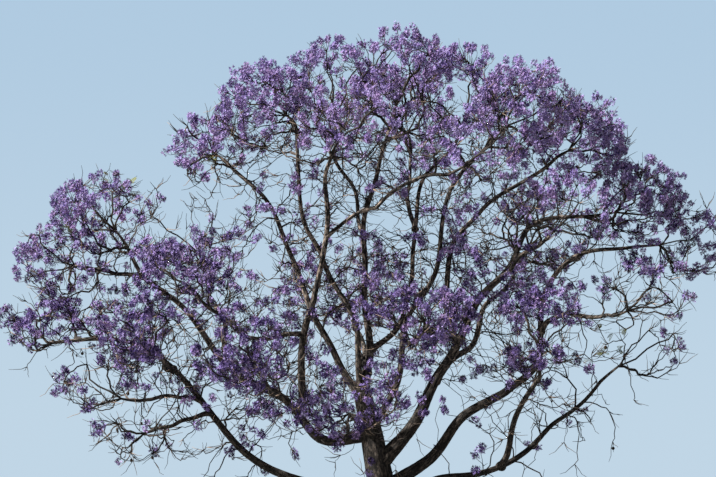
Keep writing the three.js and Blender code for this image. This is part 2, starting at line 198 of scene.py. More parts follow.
BOUGHS = [
    ("upper_left", "trunk", 0.96, 0.092, (-2.39, -0.8, 11.18),
     ((0.04, 0.02), (0.24, 0.09), (-0.05, 0.12), (-0.5, -0.17), (-0.21, 0.02)),
     (-3.25, -1, 11.45), (1.55, 2.2, 1.55)),
    ("top", "trunk", 0.96, 0.128, (0.16, -0.2, 11.32),
     ((-0.01, -0.25), (-0.32, -0.05), (-0.18, -0.03), (-0.53, 0.05), (-0.24, 0)),
     (0.46, -0.3, 12.61), (1.5, 2.1, 1.5)),
    ("top_right", "top", 0.21, 0.082, (1.86, 1.3, 10.88),
     ((0.4, -0.23), (0.35, -0.2), (-0.06, -0.01), (-0.12, 0.02), (-0.32, 0.2)),
     (2.05, 1.3, 12.45), (1.4, 2.1, 1.4)),
    ("outer_right", "trunk", 0.5, 0.2, (5.57, -0.3, 8.86),
     ((0.15, 0.01), (-0.33, 0.38), (-0.38, 0.59), (-0.39, 0.58), (-0.76, 0.9)),
     (6.89, 0, 9.2), (1.45, 2.1, 1.3)),
    ("far_right", "trunk", 0.33, 0.175, (6.71, 0.4, 8.08),
     ((0.23, -0.07), (0.11, 0.14), (0.61, -0.24), (0.25, -0.34), (-0.56, 0.56), (-0.46, 0.66)),
     (8.36, 0.4, 8.14), (1.4, 1.9, 1.2)),
    ("shoulder_left", "trunk", 0.7, 0.15, (-6.99, 0, 8.1),
     ((-0.35, -0.98), (-0.26, -0.73), (-0.52, -0.53), (-0.66, -0.19), (-0.49, -0.1)),
     (-7.7, 0.3, 8.9), (1.4, 2.1, 1.3)),
    ("low_left", "trunk", 0.3, 0.145, (-9.11, 0.8, 5.5),
     ((-0.22, -0.42), (-0.26, -0.28), (-0.08, -0.09), (0.02, 1), (0.67, 0.79)),
     (-9.2, 0.8, 5.99), (1.4, 2, 0.95)),
    ("upper_right", "trunk", 0.7, 0.102, (2.83, -0.9, 10.82),
     ((0.06, 0), (-0.12, 0.09), (-0.1, 0.04), (-0.37, 0.15), (-0.29, 0.24)),
     (3.75, -0.9, 11.65), (1.5, 2.1, 1.45)),
    ("droop_right", "trunk", 0.26, 0.125, (5.92, 1.6, 4.47),
     ((0, -0.1), (0.09, -0.6), (0.47, -0.27), (0.25, -0.36)),
     (7.13, 1.8, 5.36), (1.35, 1.9, 1.05)),
    ("front_low", "trunk", 0.7, 0.105, (-0.88, -3.8, 3.35), ((0.01, 0.04), (0, 0.05)),
     (-1.05, -5.2, 3.76), (1.6, 1.8, 1.1)),
    ("top_left", "top", 0.59, 0.056, (-1.28, 1, 10.84),
     ((0.02, -0.11), (0.06, 0.14), (-0.24, 0.4)),
     (-1.4, 1, 12.5), (1.45, 2.1, 1.55)),
    ("high_left", "trunk", 0.96, 0.108, (-4.38, 0.9, 10.5),
     ((-0.09, -0.02), (-0.04, -0.15), (0.3, 0.22), (0.22, 0.07), (0.31, 0.21)),
     (-4.85, 0.9, 10.8), (1.15, 1.9, 1.25)),
    ("back_middle", "top", 0.13, 0.095, (-0.96, 4.2, 6.56), ((0.02, 0.04), (0.06, 0.03)),
     (-1.11, 6, 7.46), (2.4, 2.1, 1.4)),
    ("back_top", "top_right", 0.6, 0.07, (0.76, 2.9, 10.91),
     ((-0.07, -0.04), (-0.23, -0.06), (-0.04, -0.11)),
     (0.25, 4.4, 12.34), (2.4, 2.2, 1.3)),
    ("front_top_left", "shoulder_left", 0.25, 0.125, (-1.43, -3.2, 10.1),
     ((-0.03, -0.04), (-0.06, 0.25), (-0.21, -0.14), (0.16, 0.59), (0.05, 0.67)),
     (-0.88, -4.3, 10.69), (1.5, 2, 1.25)),
    ("front_middle", "upper_right", 0.32, 0.085, (1, -3.8, 5.59), ((-0.04, -0.17), (-0.03, -0.16)),
     (0.85, -5.2, 5.95), (1.5, 1.8, 1.1)),
    ("shoulder_right", "outer_right", 0.42, 0.092, (4.7, 0.5, 10.56),
     ((-0.78, 0.17), (-1.07, 0.4), (-1.25, 0.56), (-1.14, 0.35), (-0.27, 0.22)),
     (5.41, 0.4, 10.85), (1.4, 2.2, 1.42)),
    ("front_right_high", "outer_right", 0.56, 0.07, (4.08, -3.4, 7.93),
     ((-0.07, 0.02), (-0.04, 0.03)), (4.4, -4.4, 8.4), (1.5, 2, 1.3)),
    ("back_right", "outer_right", 0.3, 0.11, (3.9, 4.2, 7.99), ((0, -0.17), (0.04, -0.08)),
     (4.5, 5.4, 9.08), (2.4, 2.2, 1.5)),
    ("low_right", "far_right", 0.65, 0.085, (5.97, -1.5, 6.09),
     ((-0.16, 0.28), (-0.1, 0.22), (0.21, 0.12)),
     (6.8, -1.9, 6.59), (1.4, 1.9, 1.05)),
    ("front_right", "droop_right", 0.48, 0.1, (3.94, -3.6, 4.78),
     ((0.03, 0.06), (0.21, 0.6), (0.17, 0.23)),
     (3.7, -4.7, 5.5), (1.5, 1.9, 1.1)),
    ("front_top_right", "front_top_left", 0.63, 0.05, (1.55, -3, 9.66),
     ((0.22, 0.33), (-0.05, 0.07), (0.05, 0.37)),
     (2.13, -4.2, 10.16), (1.5, 2, 1.2)),
    ("front_left_high", "front_top_left", 0.29, 0.07, (-4.61, -2.9, 6.24),
     ((-0.04, -0.12), (-0.13, -0.48), (-0.09, -0.41), (-0.05, -0.19)),
     (-5.12, -3.9, 7.24), (1.5, 1.9, 1.15)),
    ("front_left", "shoulder_left", 0.16, 0.09, (-3.21, -4.3, 4.47), ((-0.03, 0.03), (-0.05, 0.01)),
     (-3.53, -5.6, 4.99), (1.5, 1.8, 1.15)),
    ("back_left", "shoulder_left", 0.49, 0.095, (-5.07, 3.7, 7.7), ((0.1, -0.05), (0.07, -0.03)),
     (-5.8, 5, 8.9), (2.2, 2.2, 1.3)),
    ("far_left", "shoulder_left", 0.76, 0.07, (-7.9, -0.6, 7.43),
     ((0.22, 0.06), (-0.06, 0.19), (0.01, 0.05)),
     (-8.82, -0.6, 7.5), (1.2, 1.9, 1.15)),
    ("front_low_left", "low_left", 0.62, 0.075, (-5.88, -2.3, 5.1),
     ((-0.11, -0.13), (-0.06, -0.06)), (-6.38, -3.3, 5.57), (1.45, 1.8, 1.05)),
    ("droop_left", "low_left", 0.54, 0.06, (-6.45, -0.7, 3.9),
     ((0.01, 0.1), (0.1, 0.11), (-0.04, 0.06)),
     (-7.7, -0.7, 4.28), (1.4, 1.9, 0.85)),
    ("foot_left", "low_left", 0.51, 0.07, (-6.18, -1, 3.08),
     ((0, 0.04), (-0.01, -0.02), (-0.03, 0.01)),
     (-6.64, -1.2, 2.91), (1.35, 1.8, 0.75)),
]
PLACES = [row[0] for row in BOUGHS]
CROWNS = np.array([row[6] for row in BOUGHS])
REACHES = np.array([row[7] for row in BOUGHS])


def spread(index, base):
    """The radical inverse: the index's digits in that base, mirrored behind the point. It gives
    evenly spread numbers between 0 and 1."""
    rest = np.array(index)
    value = np.zeros(rest.shape)
    share = 1 / base
    while rest.any():
        value += share * (rest % base)
        rest //= base
        share /= base
    return value


def draws(count, base):
    """That many evenly spread numbers."""
    return spread(np.arange(1, count + 1), base)


def bezier(corners, t):
    """Corner k counts by its Bernstein weight: comb(last, k) * (1 - t) ^ (last - k) * t ^ k."""
    t = np.asarray(t, float)[..., None]
    last = len(corners) - 1
    return sum(math.comb(last, k) * (1 - t) ** (last - k) * t ** k * corner
               for k, corner in enumerate(corners))


def smooth_through(knots, t):
    """The Catmull-Rom curve: between two knots a cubic that passes both, and at each knot its slope
    is half the way from the knot before to the one after. The ends get a mirrored knot."""
    knots = np.concatenate([[2 * knots[0] - knots[1]], knots, [2 * knots[-1] - knots[-2]]])
    place = np.asarray(t, float) * (len(knots) - 3)
    first = np.minimum(place.astype(int), len(knots) - 4)
    w = (place - first)[..., None]
    before, start, end, after = (knots[first + k] for k in range(4))
    slope, last_slope = (end - before) / 2, (after - start) / 2
    return ((2 * w ** 3 - 3 * w ** 2 + 1) * start + (w ** 3 - 2 * w ** 2 + w) * slope
            + (3 * w ** 2 - 2 * w ** 3) * end + (w ** 3 - w ** 2) * last_slope)


def swayed(knots, number):
    """The curve, pushed across its chord by two slow sine waves that fade at its ends."""
    chord = knots[-1] - knots[0]
    side = unit(np.array([chord[1], -chord[0], 0]))
    other = np.cross(unit(chord), side)

    def point(t):
        t = np.asarray(t, float)
        width = SWAY * np.linalg.norm(chord) * np.sin(np.pi * t)
        swings = [np.sin(2 * np.pi * (turns * t + spread(number + 1, base)))
                  for turns, base in zip(SWAY_TURNS, (2, 3))]
        return (smooth_through(knots, t) + (width * swings[0])[..., None] * side
                + (width * swings[1])[..., None] * other)
    return point


limbs = {}


def lay_trunk():
    """It rises straight for a third of its height and then leans."""
    tip = np.array(TRUNK_TIP)
    straight = np.array([0, 0, tip[2] * TRUNK_STRAIGHT])
    corners = [np.zeros(3), straight, mix(tip, straight, TRUNK_STRAIGHT), tip]
    limbs["trunk"] = {
        "point": lambda t: bezier(corners, t),
        "radius": lambda t: mix(*TRUNK_RADII, np.asarray(t, float) ** TRUNK_TAPER),
        "length": np.linalg.norm(tip),
    }


def lay_bough(number):
    """The curve passes all bowed points. The radius shrinks by a power of the way gone, and a
    collar swells it at the foot."""
    place, parent, at, foot, tip, bows = BOUGHS[number][:6]
    start, end = limbs[parent]["point"](at), np.array(tip)
    length = np.linalg.norm(end - start)
    bowed = [mix(start, end, (i + 1) / (len(bows) + 1)) + [bow[0], 0, bow[1]]
             for i, bow in enumerate(bows)]
    collar = COLLAR_REACH * limbs[parent]["radius"](at)
    rings = int(np.clip(round(length / RING_STEP), *RING_RANGE))
    point = swayed(np.array([start, *bowed, end]), number)
    last = ((rings - 2) / (rings - 1)) ** RING_CROWDING
    limbs[place] = {
        "point": point,
        "radius": lambda t: (mix(foot, BOUGH_TIP_RADIUS, np.asarray(t, float) ** BOUGH_TAPER)
                             * (1 + COLLAR * np.exp(-np.asarray(t) * length / collar))),
        "length": length,
        "way": unit(point(1) - point(last)),
    }


lay_trunk()
for number in range(len(BOUGHS)):
    lay_bough(number)
print(len(limbs), "limbs,", round(sum(limb["length"] for limb in limbs.values())), "m in all")

# %% [markdown]
# Every limb and twig is a profile carried along a path. The profile must not twist on the way, so
# each ring's sideways direction is the one before it, tilted only as far as the path turns.
# %% Profiles along paths
STEEP = 0.8


def frames_along(paths):
    """paths is (how many, rings, 3). Gives two directions across each path at every ring: side is
    the last side less its part along the path, and other is along times side."""
    along = unit(np.gradient(paths, axis=1))
    guide = np.where(np.abs(along[:, 0, :1]) < STEEP, [[1.0, 0, 0]], [[0, 1.0, 0]])
    side = np.empty_like(paths)
    for ring in range(paths.shape[1]):
        part = (guide * along[:, ring]).sum(-1, keepdims=True)
        guide = unit(guide - part * along[:, ring])
        side[:, ring] = guide
    return side, np.cross(along, side)


def tubes(paths, radii, sides):
    """A closed tube round each path: centre + radius * (cos a * side + sin a * other), with one
    face over each end. radii is (how many, rings), or has one more axis for the sides where the
    tube isn't round."""
    count, rings = paths.shape[:2]
    side, other = frames_along(paths)
    angle = angles(sides)
    if radii.ndim == 2:
        radii = radii[..., None]
    radii = radii[..., None]
    points = (paths[:, :, None] + radii * (np.cos(angle)[:, None] * side[:, :, None]
                                           + np.sin(angle)[:, None] * other[:, :, None]))
    k = np.arange(sides)
    turn = (k + 1) % sides
    ring = np.arange(rings - 1)[:, None] * sides
    walls = np.stack([ring + k, ring + turn, ring + turn + sides, ring + k + sides], -1)
    walls = walls.reshape(-1, 4)
    ends = np.stack([k[::-1], (rings - 1) * sides + k])
    starts = (np.arange(count) * rings * sides)[:, None, None]
    faces = [(block + starts).reshape(-1, block.shape[1]) for block in (walls, ends)]
    return points.reshape(-1, 3), faces

# %% [markdown]
# A jacaranda's bark is thin, grey-brown and cracked into narrow furrows that run along the limb.
# The furrows are real dents in the mesh here, so that a limb's edge looks rough against the sky.
# They come from sine waves that run round the limb a whole number of times, so they close on
# themselves, and that change slowly along it, so they come out long.
# %% Bark relief
SIDE_STEP = 0.032
RING_SPACING = 0.075
BOUGH_SIDE_RANGE = (14, 40)
FURROW_DEPTH = 0.055
FURROW_MOST = 0.014
FURROW_GAIN = 2.2
FURROW_POWER = 3
FURROW_CLIMB = 2.5
LUMP_DEPTH = 0.05
LUMPS_ROUND = (1, 3)
LUMP_CLIMB = 0.7
WAVES = 7


def waves(angle, run, least, most, climb):
    """The mean of sines of n*angle + f*run + phase, with n a whole number from least to most and f
    up to climb in turns for each metre."""
    shape = (WAVES, 1, 1)
    n = rng.integers(least, most + 1, shape)
    f = 2 * np.pi * climb * rng.uniform(-1, 1, shape)
    return np.sin(n * angle + f * run + rng.uniform(0, 2 * np.pi, shape)).mean(0)


def rough(radius, angle, run):
    """A round limb's radii with lumps and furrows on them. A furrow lies where a sum of waves
    passes through zero: 1 - |sum| to a high power is a narrow groove there."""
    most = max(4, len(angle) // 4)
    lumps = waves(angle, run, *LUMPS_ROUND, LUMP_CLIMB)
    furrows = FURROW_GAIN * waves(angle, run, most // 2, most, FURROW_CLIMB)
    grooves = (1 - np.abs(np.clip(furrows, -1, 1))) ** FURROW_POWER
    depth = np.minimum(FURROW_DEPTH * radius, FURROW_MOST)
    return radius * (1 + LUMP_DEPTH * lumps) - depth * grooves


def add_run(piece, places):
    """Keeps with every point where it would be if its limb were straight and upright, for the
    bark's pattern to follow."""
    made = piece.data.attributes.new("along_limb", "FLOAT_VECTOR", "POINT")
    made.data.foreach_set("vector", np.concatenate(places).astype(np.float32).ravel())


def straightened(radii, angle, run):
    """(radius * cos a, radius * sin a, way along the limb) for the points that tubes() makes."""
    run = np.broadcast_to(run, radii.shape)
    return np.stack([radii * np.cos(angle), radii * np.sin(angle), run], -1).reshape(-1, 3)

# %% [markdown]
# A material is a tree of nodes. Written as Python sums it stays readable: a small class holds one
# socket, and adding or multiplying two of them adds the Math node that does it.
# %% Nodes as expressions
class Strand:
    """One socket of a material's node tree."""

    def __init__(self, tree, socket=None):
        self.tree = tree
        self.socket = socket

    def node(self, kind, settings=(), sockets=(), output=0):
        """Adds a node, with its settings, and with a value or a link for each named socket."""
        made = self.tree.nodes.new(kind)
        for name, value in dict(settings).items():
            setattr(made, name, value)
        for name, value in dict(sockets).items():
            if isinstance(value, Strand):
                self.tree.links.new(value.socket, made.inputs[name])
            else:
                made.inputs[name].default_value = value
        return Strand(self.tree, made.outputs[output])

    def math(self, operation, first, second):
        return self.node("ShaderNodeMath", {"operation": operation}, {0: first, 1: second})

    def __add__(self, other):
        return self.math("ADD", self, other)

    def __rsub__(self, other):
        return self.math("SUBTRACT", other, self)

    def __mul__(self, other):
        return self.math("MULTIPLY", self, other)

    __radd__, __rmul__ = __add__, __mul__

    def between(self, low, high):
        """0 below low, 1 above high, and smooth between them."""
        return self.node("ShaderNodeMapRange", {"interpolation_type": "SMOOTHSTEP"},
                         {"Value": self, "From Min": low, "From Max": high})

    def blend(self, first, second):
        """A colour that goes from the first to the second as this socket goes from 0 to 1."""
        return self.node("ShaderNodeMix", {"data_type": "RGBA"}, {0: self, 6: first, 7: second}, 2)

    def height(self):
        return self.node("ShaderNodeSeparateXYZ", {}, {"Vector": self}, "Z")

    def noise(self, scale, detail, roughness):
        """Cloudy noise, with this socket as its place."""
        wants = {"Vector": self, "Scale": scale, "Detail": detail, "Roughness": roughness}
        return self.node("ShaderNodeTexNoise", {}, wants, "Fac")


def blank_look(name):
    """A new material, the start of its expressions and its surface's node."""
    look = bpy.data.materials.new(name)
    look.use_nodes = True
    return look, Strand(look.node_tree), look.node_tree.nodes["Principled BSDF"]


def feed(surface, **wants):
    """Links or sets sockets of the surface. An underscore stands for a space in their names."""
    for name, value in wants.items():
        socket = surface.inputs[name.replace("_", " ")]
        if isinstance(value, Strand):
            value.tree.links.new(value.socket, socket)
        else:
            socket.default_value = value

# %% [markdown]
# Seen from far, the limbs are almost black-brown in the shade and tan where the sun strikes them,
# with paler streaks where old bark has weathered, more of them high up. The furrows are darker
# than the ridges. The noise for both reads the straightened place of each point, squeezed along
# the limb, so it comes out as long cracks and streaks that follow every bend.
# %% Bark finish
CRACK_COLOUR = (0.006, 0.005, 0.005, 1)
RIDGE_COLOUR = (0.015, 0.012, 0.010, 1)
WEATHERED_COLOUR = (0.35, 0.278, 0.228, 1)
LICHEN_COLOUR = (0.10, 0.092, 0.073, 1)
ALONG = 0.3
CRACKS, CRACK_EDGES = (26, 5, 0.6), (0.38, 0.60)
STREAKS, STREAK_EDGES = (11, 5, 0.68), (0.46, 0.56)
SPOTS, SPOT_EDGES, SPOT_SHARE = (12, 3, 0.6), (0.56, 0.66), 0.5
GRAIN = (60, 3, 0.6)
RELIEF_SHARES = (0.7, 0.3)
BUMP_DEPTH = 0.012
BUMP_STRENGTH = 0.6
DULLEST, CRACK_SHEEN = 0.95, 0.12
WORN_HEIGHTS = (3.0, 7.5)
LEAST_WORN = 0.25


def make_bark():
    look, start, surface = blank_look("bark")
    straight = start.node("ShaderNodeAttribute", {"attribute_name": "along_limb"}, {}, "Vector")
    squeezed = start.node("ShaderNodeVectorMath", {"operation": "MULTIPLY"},
                          {0: straight, 1: (1, 1, ALONG)})
    place = start.node("ShaderNodeTexCoord", {}, {}, "Object")
    cracks = squeezed.noise(*CRACKS).between(*CRACK_EDGES)
    height = place.height().between(*WORN_HEIGHTS)
    worn = squeezed.noise(*STREAKS).between(*STREAK_EDGES) * mix(LEAST_WORN, 1.0, height)
    spots = place.noise(*SPOTS).between(*SPOT_EDGES)
    wood = cracks.blend(CRACK_COLOUR, RIDGE_COLOUR)
    wood = (spots * SPOT_SHARE).blend(wood, LICHEN_COLOUR)
    wood = (worn * cracks).blend(wood, WEATHERED_COLOUR)
    relief = cracks * RELIEF_SHARES[0] + straight.noise(*GRAIN) * RELIEF_SHARES[1]
    bump = start.node("ShaderNodeBump", {},
                      {"Strength": BUMP_STRENGTH, "Distance": BUMP_DEPTH, "Height": relief})
    feed(surface, Base_Color=wood, Roughness=DULLEST - cracks * CRACK_SHEEN, Normal=bump)
    return look


BARK = make_bark()

# %% [markdown]
# The trunk is one grid of rings. Its foot spreads into five low root lobes, which run out as
# flutes further up, and it ends in a low dome that the forking boughs hide.
# %% Trunk
TRUNK_SIDES = 96
TRUNK_RINGS = 110
FLARE = 0.75
FLARE_HEIGHT = 0.42
ROOT_LOBES = 5
LOBE_DEPTH = 0.16
LOBE_TURN = 0.6
FLUTE_DEPTH = 0.035
DOME_HEIGHT = 0.15
DOME_RINGS = 10
DOME_TURN = 1.45


def dress_trunk():
    """Rings as in the solid: the radius times 1 + exp(-z / height) * (flare + depth * cos(5a +
    turn)), and above them a dome of height * sin and radius * cos."""
    t = np.linspace(0, 1, TRUNK_RINGS)
    path, radius = limbs["trunk"]["point"](t), limbs["trunk"]["radius"](t)
    rise = DOME_TURN * np.arange(1, DOME_RINGS + 1)[:, None] / DOME_RINGS
    path = np.concatenate([path, path[-1] + DOME_HEIGHT * np.sin(rise) * unit(path[-1] - path[-2])])
    radius = np.concatenate([radius, radius[-1] * np.cos(rise[:, 0])])[:, None]
    angle = angles(TRUNK_SIDES)
    lobes = np.cos(ROOT_LOBES * angle + LOBE_TURN)
    run = path[:, 2:]
    fade = np.exp(-run / FLARE_HEIGHT)
    spread_out = 1 + fade * (FLARE + LOBE_DEPTH * lobes) + FLUTE_DEPTH * lobes
    shape = rough(radius * spread_out, angle, run)
    points, faces = tubes(path[None], shape[None], TRUNK_SIDES)
    points[:, 2] = np.maximum(points[:, 2], 0)
    trunk = mesh_piece("bark_of_trunk", points, faces, [BARK])
    add_run(trunk, [straightened(shape, angle, run)])
    stand_in(trunk, ["trunk"])


dress_trunk()

# %% [markdown]
# Each bough's bark is one tube too, from inside its parent to the end of the stem that its mass of
# blossom grows from. Boughs of one side of the crown are joined into one piece.
# %% Boughs
SIDES_OF_CROWN = {
    "left": ["shoulder_left", "far_left", "low_left", "droop_left", "foot_left"],
    "upper_left": ["upper_left", "high_left", "top_left", "front_top_left"],
    "top": ["top", "top_right", "upper_right", "back_top"],
    "right": ["outer_right", "far_right", "droop_right", "shoulder_right", "low_right"],
    "front_left": ["front_low", "front_left", "front_left_high", "front_low_left"],
    "front_right": ["front_middle", "front_right", "front_right_high", "front_top_right"],
    "back": ["back_left", "back_middle", "back_right"],
}
STEM_SHARE = 0.45
STEM_BEND = 0.4
STEM_RINGS = 8
STEM_TAPER = 0.65
SIDES_COUNTED_AT = 0.3
RUN_BETWEEN_BOUGHS = 20.0


def lay_stem(number):
    """From the bough's tip on, half way between the bough's own way and that to the middle of its
    mass."""
    limb = limbs[PLACES[number]]
    foot = limb["point"](1)
    to_crown = CROWNS[number] - foot
    length = STEM_SHARE * np.linalg.norm(to_crown)
    end = foot + unit(unit(to_crown) + limb["way"]) * length
    bend = foot + limb["way"] * length * STEM_BEND
    limb["stem"] = bezier([foot, bend, end], np.linspace(0, 1, STEM_RINGS + 1)[1:])
    limb["stem_way"] = unit(end - bend)
    limb["stem_length"] = length


for number in range(len(PLACES)):
    lay_stem(number)


def dress_bough(place):
    """The bough's curve and its stem's as one path, ringed at even steps. The stem thins out to
    about the size of the first twigs."""
    limb = limbs[place]
    steps = int(limb["length"] / RING_SPACING)
    t = np.linspace(0, 1, steps)
    path = np.concatenate([limb["point"](t), limb["stem"]])
    thinning = np.linspace(1, STEM_TAPER, STEM_RINGS)
    radius = np.concatenate([limb["radius"](t), BOUGH_TIP_RADIUS * thinning])[:, None]
    girth = 2 * np.pi * limb["radius"](SIDES_COUNTED_AT)
    sides = int(np.clip(girth / SIDE_STEP, *BOUGH_SIDE_RANGE))
    angle = angles(sides)
    run = np.concatenate([[0], np.cumsum(np.linalg.norm(np.diff(path, axis=0), axis=1))])[:, None]
    run = run + RUN_BETWEEN_BOUGHS * PLACES.index(place)
    shape = rough(radius, angle, run)
    return tubes(path[None], shape[None], sides), straightened(shape, angle, run)


def dress_boughs(side, places):
    dressed = [dress_bough(place) for place in places]
    points, faces = joined([tube for tube, _ in dressed])
    piece = mesh_piece(f"bark_{side}", points, faces, [BARK])
    add_run(piece, [straight for _, straight in dressed])
    stand_in(piece, [f"bough_{place}" for place in places])


for side, places in SIDES_OF_CROWN.items():
    dress_boughs(side, places)

# %% [markdown]
# Each mass keeps to its own egg-shaped space. A point belongs to the mass that it lies deepest in,
# if it is clear of every limb. Inside that space the twigs reach for goals, which are evenly
# spread and lie thicker towards the outside, where the blossom gets its light.
# %% Spaces
SPACE_LIMIT = 1.06
SPACE_MARGIN = 0.05
LIMB_MARGIN = 0.07
OWN_TIP = 0.86
LIMB_POINTS = 61
STEM_POINTS = 6
OUTERMOST = 0.86
HOLLOW = 0.25


def limb_points():
    """Points along every limb and stem, with the number of the mass that may touch them, or -1,
    and the limb's radius there."""
    t = np.linspace(0, 1, LIMB_POINTS)
    owners = [np.full(LIMB_POINTS, -1)]
    for number in range(len(PLACES)):
        owners.append(np.where(t < OWN_TIP, -1, number))
    at = [limb["point"](t) for limb in limbs.values()]
    radii = [limb["radius"](t) for limb in limbs.values()]
    share = STEM_SHARE * np.arange(1, STEM_POINTS + 1)[:, None] / STEM_POINTS
    for number, row in enumerate(BOUGHS):
        owners.append(np.full(STEM_POINTS, number))
        at.append(mix(np.array(row[4]), CROWNS[number], share))
        radii.append(np.full(STEM_POINTS, BOUGH_TIP_RADIUS))
    return np.concatenate(owners), np.concatenate(at), np.concatenate(radii)


OWNERS, OBSTACLES, OBSTACLE_RADII = limb_points()


def clear_of_limbs(number, points, margin):
    strange = OWNERS != number
    gaps = np.linalg.norm(points[:, None] - OBSTACLES[strange], axis=-1) - OBSTACLE_RADII[strange]
    return gaps.min(1) > margin


def belongs(number, points, space_margin, limb_margin):
    """Depth is the distance from a mass's middle with each axis over the mass's reach, 1 at its
    end. The point's depth in its own mass must be the least."""
    depths = np.linalg.norm((points[:, None] - CROWNS) / REACHES, axis=-1)
    own = depths[:, number]
    others = np.delete(depths, number, 1).min(1)
    inside = (own <= SPACE_LIMIT) & (others > own + space_margin)
    return inside & clear_of_limbs(number, points, limb_margin)


def evenly(tries, seed):
    """Three rows of evenly spread numbers, in the bases 2, 3 and 5, shifted for each mass."""
    return [(draws(tries, base) + seed * GOLDEN) % 1 for base in (2, 3, 5)]


def goals_in(number, tries, seed, outermost):
    """Out is the cube root of a share between hollow and 1, and the direction is even all round."""
    deep, turn, rise = evenly(tries, seed)
    out = outermost * np.cbrt(mix(HOLLOW, 1, deep))
    rise = mix(-1, 1, rise)
    flat = np.sqrt(1 - rise ** 2)
    ball = np.stack([flat * np.cos(2 * np.pi * turn), flat * np.sin(2 * np.pi * turn), rise], -1)
    return CROWNS[number] + REACHES[number] * out[:, None] * ball

# %% [markdown]
# Light comes from outside the crown, so the fine twigs and the blossom crowd on each mass's outer
# side, away from the heart of the tree, and its inner side stays airy. How far out a point lies in
# its mass is the part of its offset that points away from the heart, from -1 to 1.
# %% Outer side
HEART = np.array([-0.6, 0.0, 5.5])


def outward(number, points):
    """The offset from the mass's middle, over its reach, times the direction from the heart."""
    return ((points - CROWNS[number]) / REACHES[number]) @ unit(CROWNS[number] - HEART)

# %% [markdown]
# A crown is never even. In the photo blossom crowds in some places and the sky shows through in
# others. Both kinds of place are listed as ellipses (middle x and z, half width and half height)
# on the upright plane through the trunk, as seen from where the photo was taken. They were placed
# by a count of how much blossom shows, patch by patch, in photo and render. They thin out or fill
# up the goals and the flowers there, at every depth of the crown.
# %% Clusters and clearings
SEEN_FROM = np.array([-0.73, -72.0, 1.7])
CLUSTERS = [(-8.4, 9.0, 0.8, 0.5), (-5.7, 7.6, 0.8, 0.4), (-4.7, 7.1, 0.5, 0.5),
            (-6.7, 5.4, 0.5, 0.6), (-3.6, 4.9, 0.7, 0.4), (-3.1, 12.1, 0.8, 0.7),
            (-2.5, 13.0, 0.4, 0.4), (-0.0, 12.4, 1.1, 0.4), (1.3, 13.0, 0.9, 0.4),
            (3.4, 12.0, 1.0, 0.6), (5.1, 11.7, 0.6, 0.4), (6.1, 10.6, 0.6, 0.7),
            (1.8, 11.0, 0.5, 0.4), (7.1, 9.2, 1.0, 0.6), (4.2, 6.9, 1.2, 0.4),
            (1.5, 6.3, 1.1, 0.4), (1.4, 5.6, 0.4, 0.4), (3.5, 4.8, 0.5, 0.5), (0.2, 4.8, 0.5, 0.5),
            (-1.6, 4.2, 0.6, 0.4), (-3.3, 9.0, 0.4, 0.3), (2.1, 8.1, 0.4, 0.5),
            (6.8, 7.6, 0.4, 0.4), (3.7, 10.3, 0.6, 0.4), (-8.7, 6.3, 0.6, 0.4),
            (-4.9, 10.9, 0.6, 0.5), (-3.3, 3.6, 0.5, 0.4), (5.5, 6.9, 0.5, 0.4),
            (2.8, 7.0, 0.7, 0.4), (3.9, 7.0, 0.9, 0.3), (4.5, 11.2, 0.7, 0.4),
            (6.7, 10.1, 0.5, 0.4), (1.9, 13.0, 0.4, 0.3), (-2.8, 13.0, 0.4, 0.3),
            (-1.3, 11.0, 0.4, 0.3), (0.2, 4.8, 0.5, 0.4), (0.9, 3.4, 0.6, 0.5),
            (4.0, 4.2, 0.4, 0.3), (4.9, 4.9, 0.4, 0.2)]
CLEARINGS = [(-5.3, 9.0, 1.4, 0.4), (-4.4, 9.6, 0.5, 0.3), (-6.1, 8.3, 0.9, 0.4),
             (-3.3, 7.6, 0.4, 0.5), (0.1, 8.8, 0.4, 0.7), (1.4, 9.7, 0.4, 0.4),
             (2.8, 8.3, 0.4, 0.4), (4.7, 8.3, 0.9, 0.4), (5.3, 9.2, 0.5, 0.4),
             (-1.3, 9.6, 0.4, 0.3), (-1.3, 7.6, 0.4, 0.4), (2.8, 5.4, 0.4, 0.6),
             (5.5, 5.5, 1.5, 0.4), (6.6, 6.2, 0.6, 0.4), (6.9, 4.9, 0.7, 0.4),
             (4.8, 4.3, 0.4, 0.4), (-8.8, 4.9, 0.9, 0.4), (-6.4, 3.6, 0.7, 0.4),
             (1.8, 12.3, 0.4, 0.3), (-1.3, 12.4, 0.4, 0.3), (2.1, 11.7, 0.3, 0.3),
             (-3.1, 10.3, 0.6, 0.4), (4.1, 3.6, 0.5, 0.4), (-1.6, 8.3, 0.5, 0.3),
             (-5.5, 11.2, 0.6, 0.5), (-4.1, 12.5, 0.5, 0.4), (4.8, 12.4, 0.4, 0.3),
             (1.6, 7.1, 0.8, 0.3), (-0.9, 4.7, 0.6, 0.6), (-4.7, 5.4, 0.4, 0.6),
             (-5.8, 7.0, 0.4, 0.3), (-1.9, 4.3, 0.5, 0.2), (-0.7, 4.3, 0.3, 0.2),
             (-4.7, 11.8, 0.3, 0.3), (4.9, 12.3, 0.3, 0.3), (-8.5, 9.8, 0.6, 0.2),
             (-5.3, 8.3, 0.3, 0.3), (-9.5, 6.6, 0.4, 0.3), (1.5, 7.0, 0.5, 0.2)]


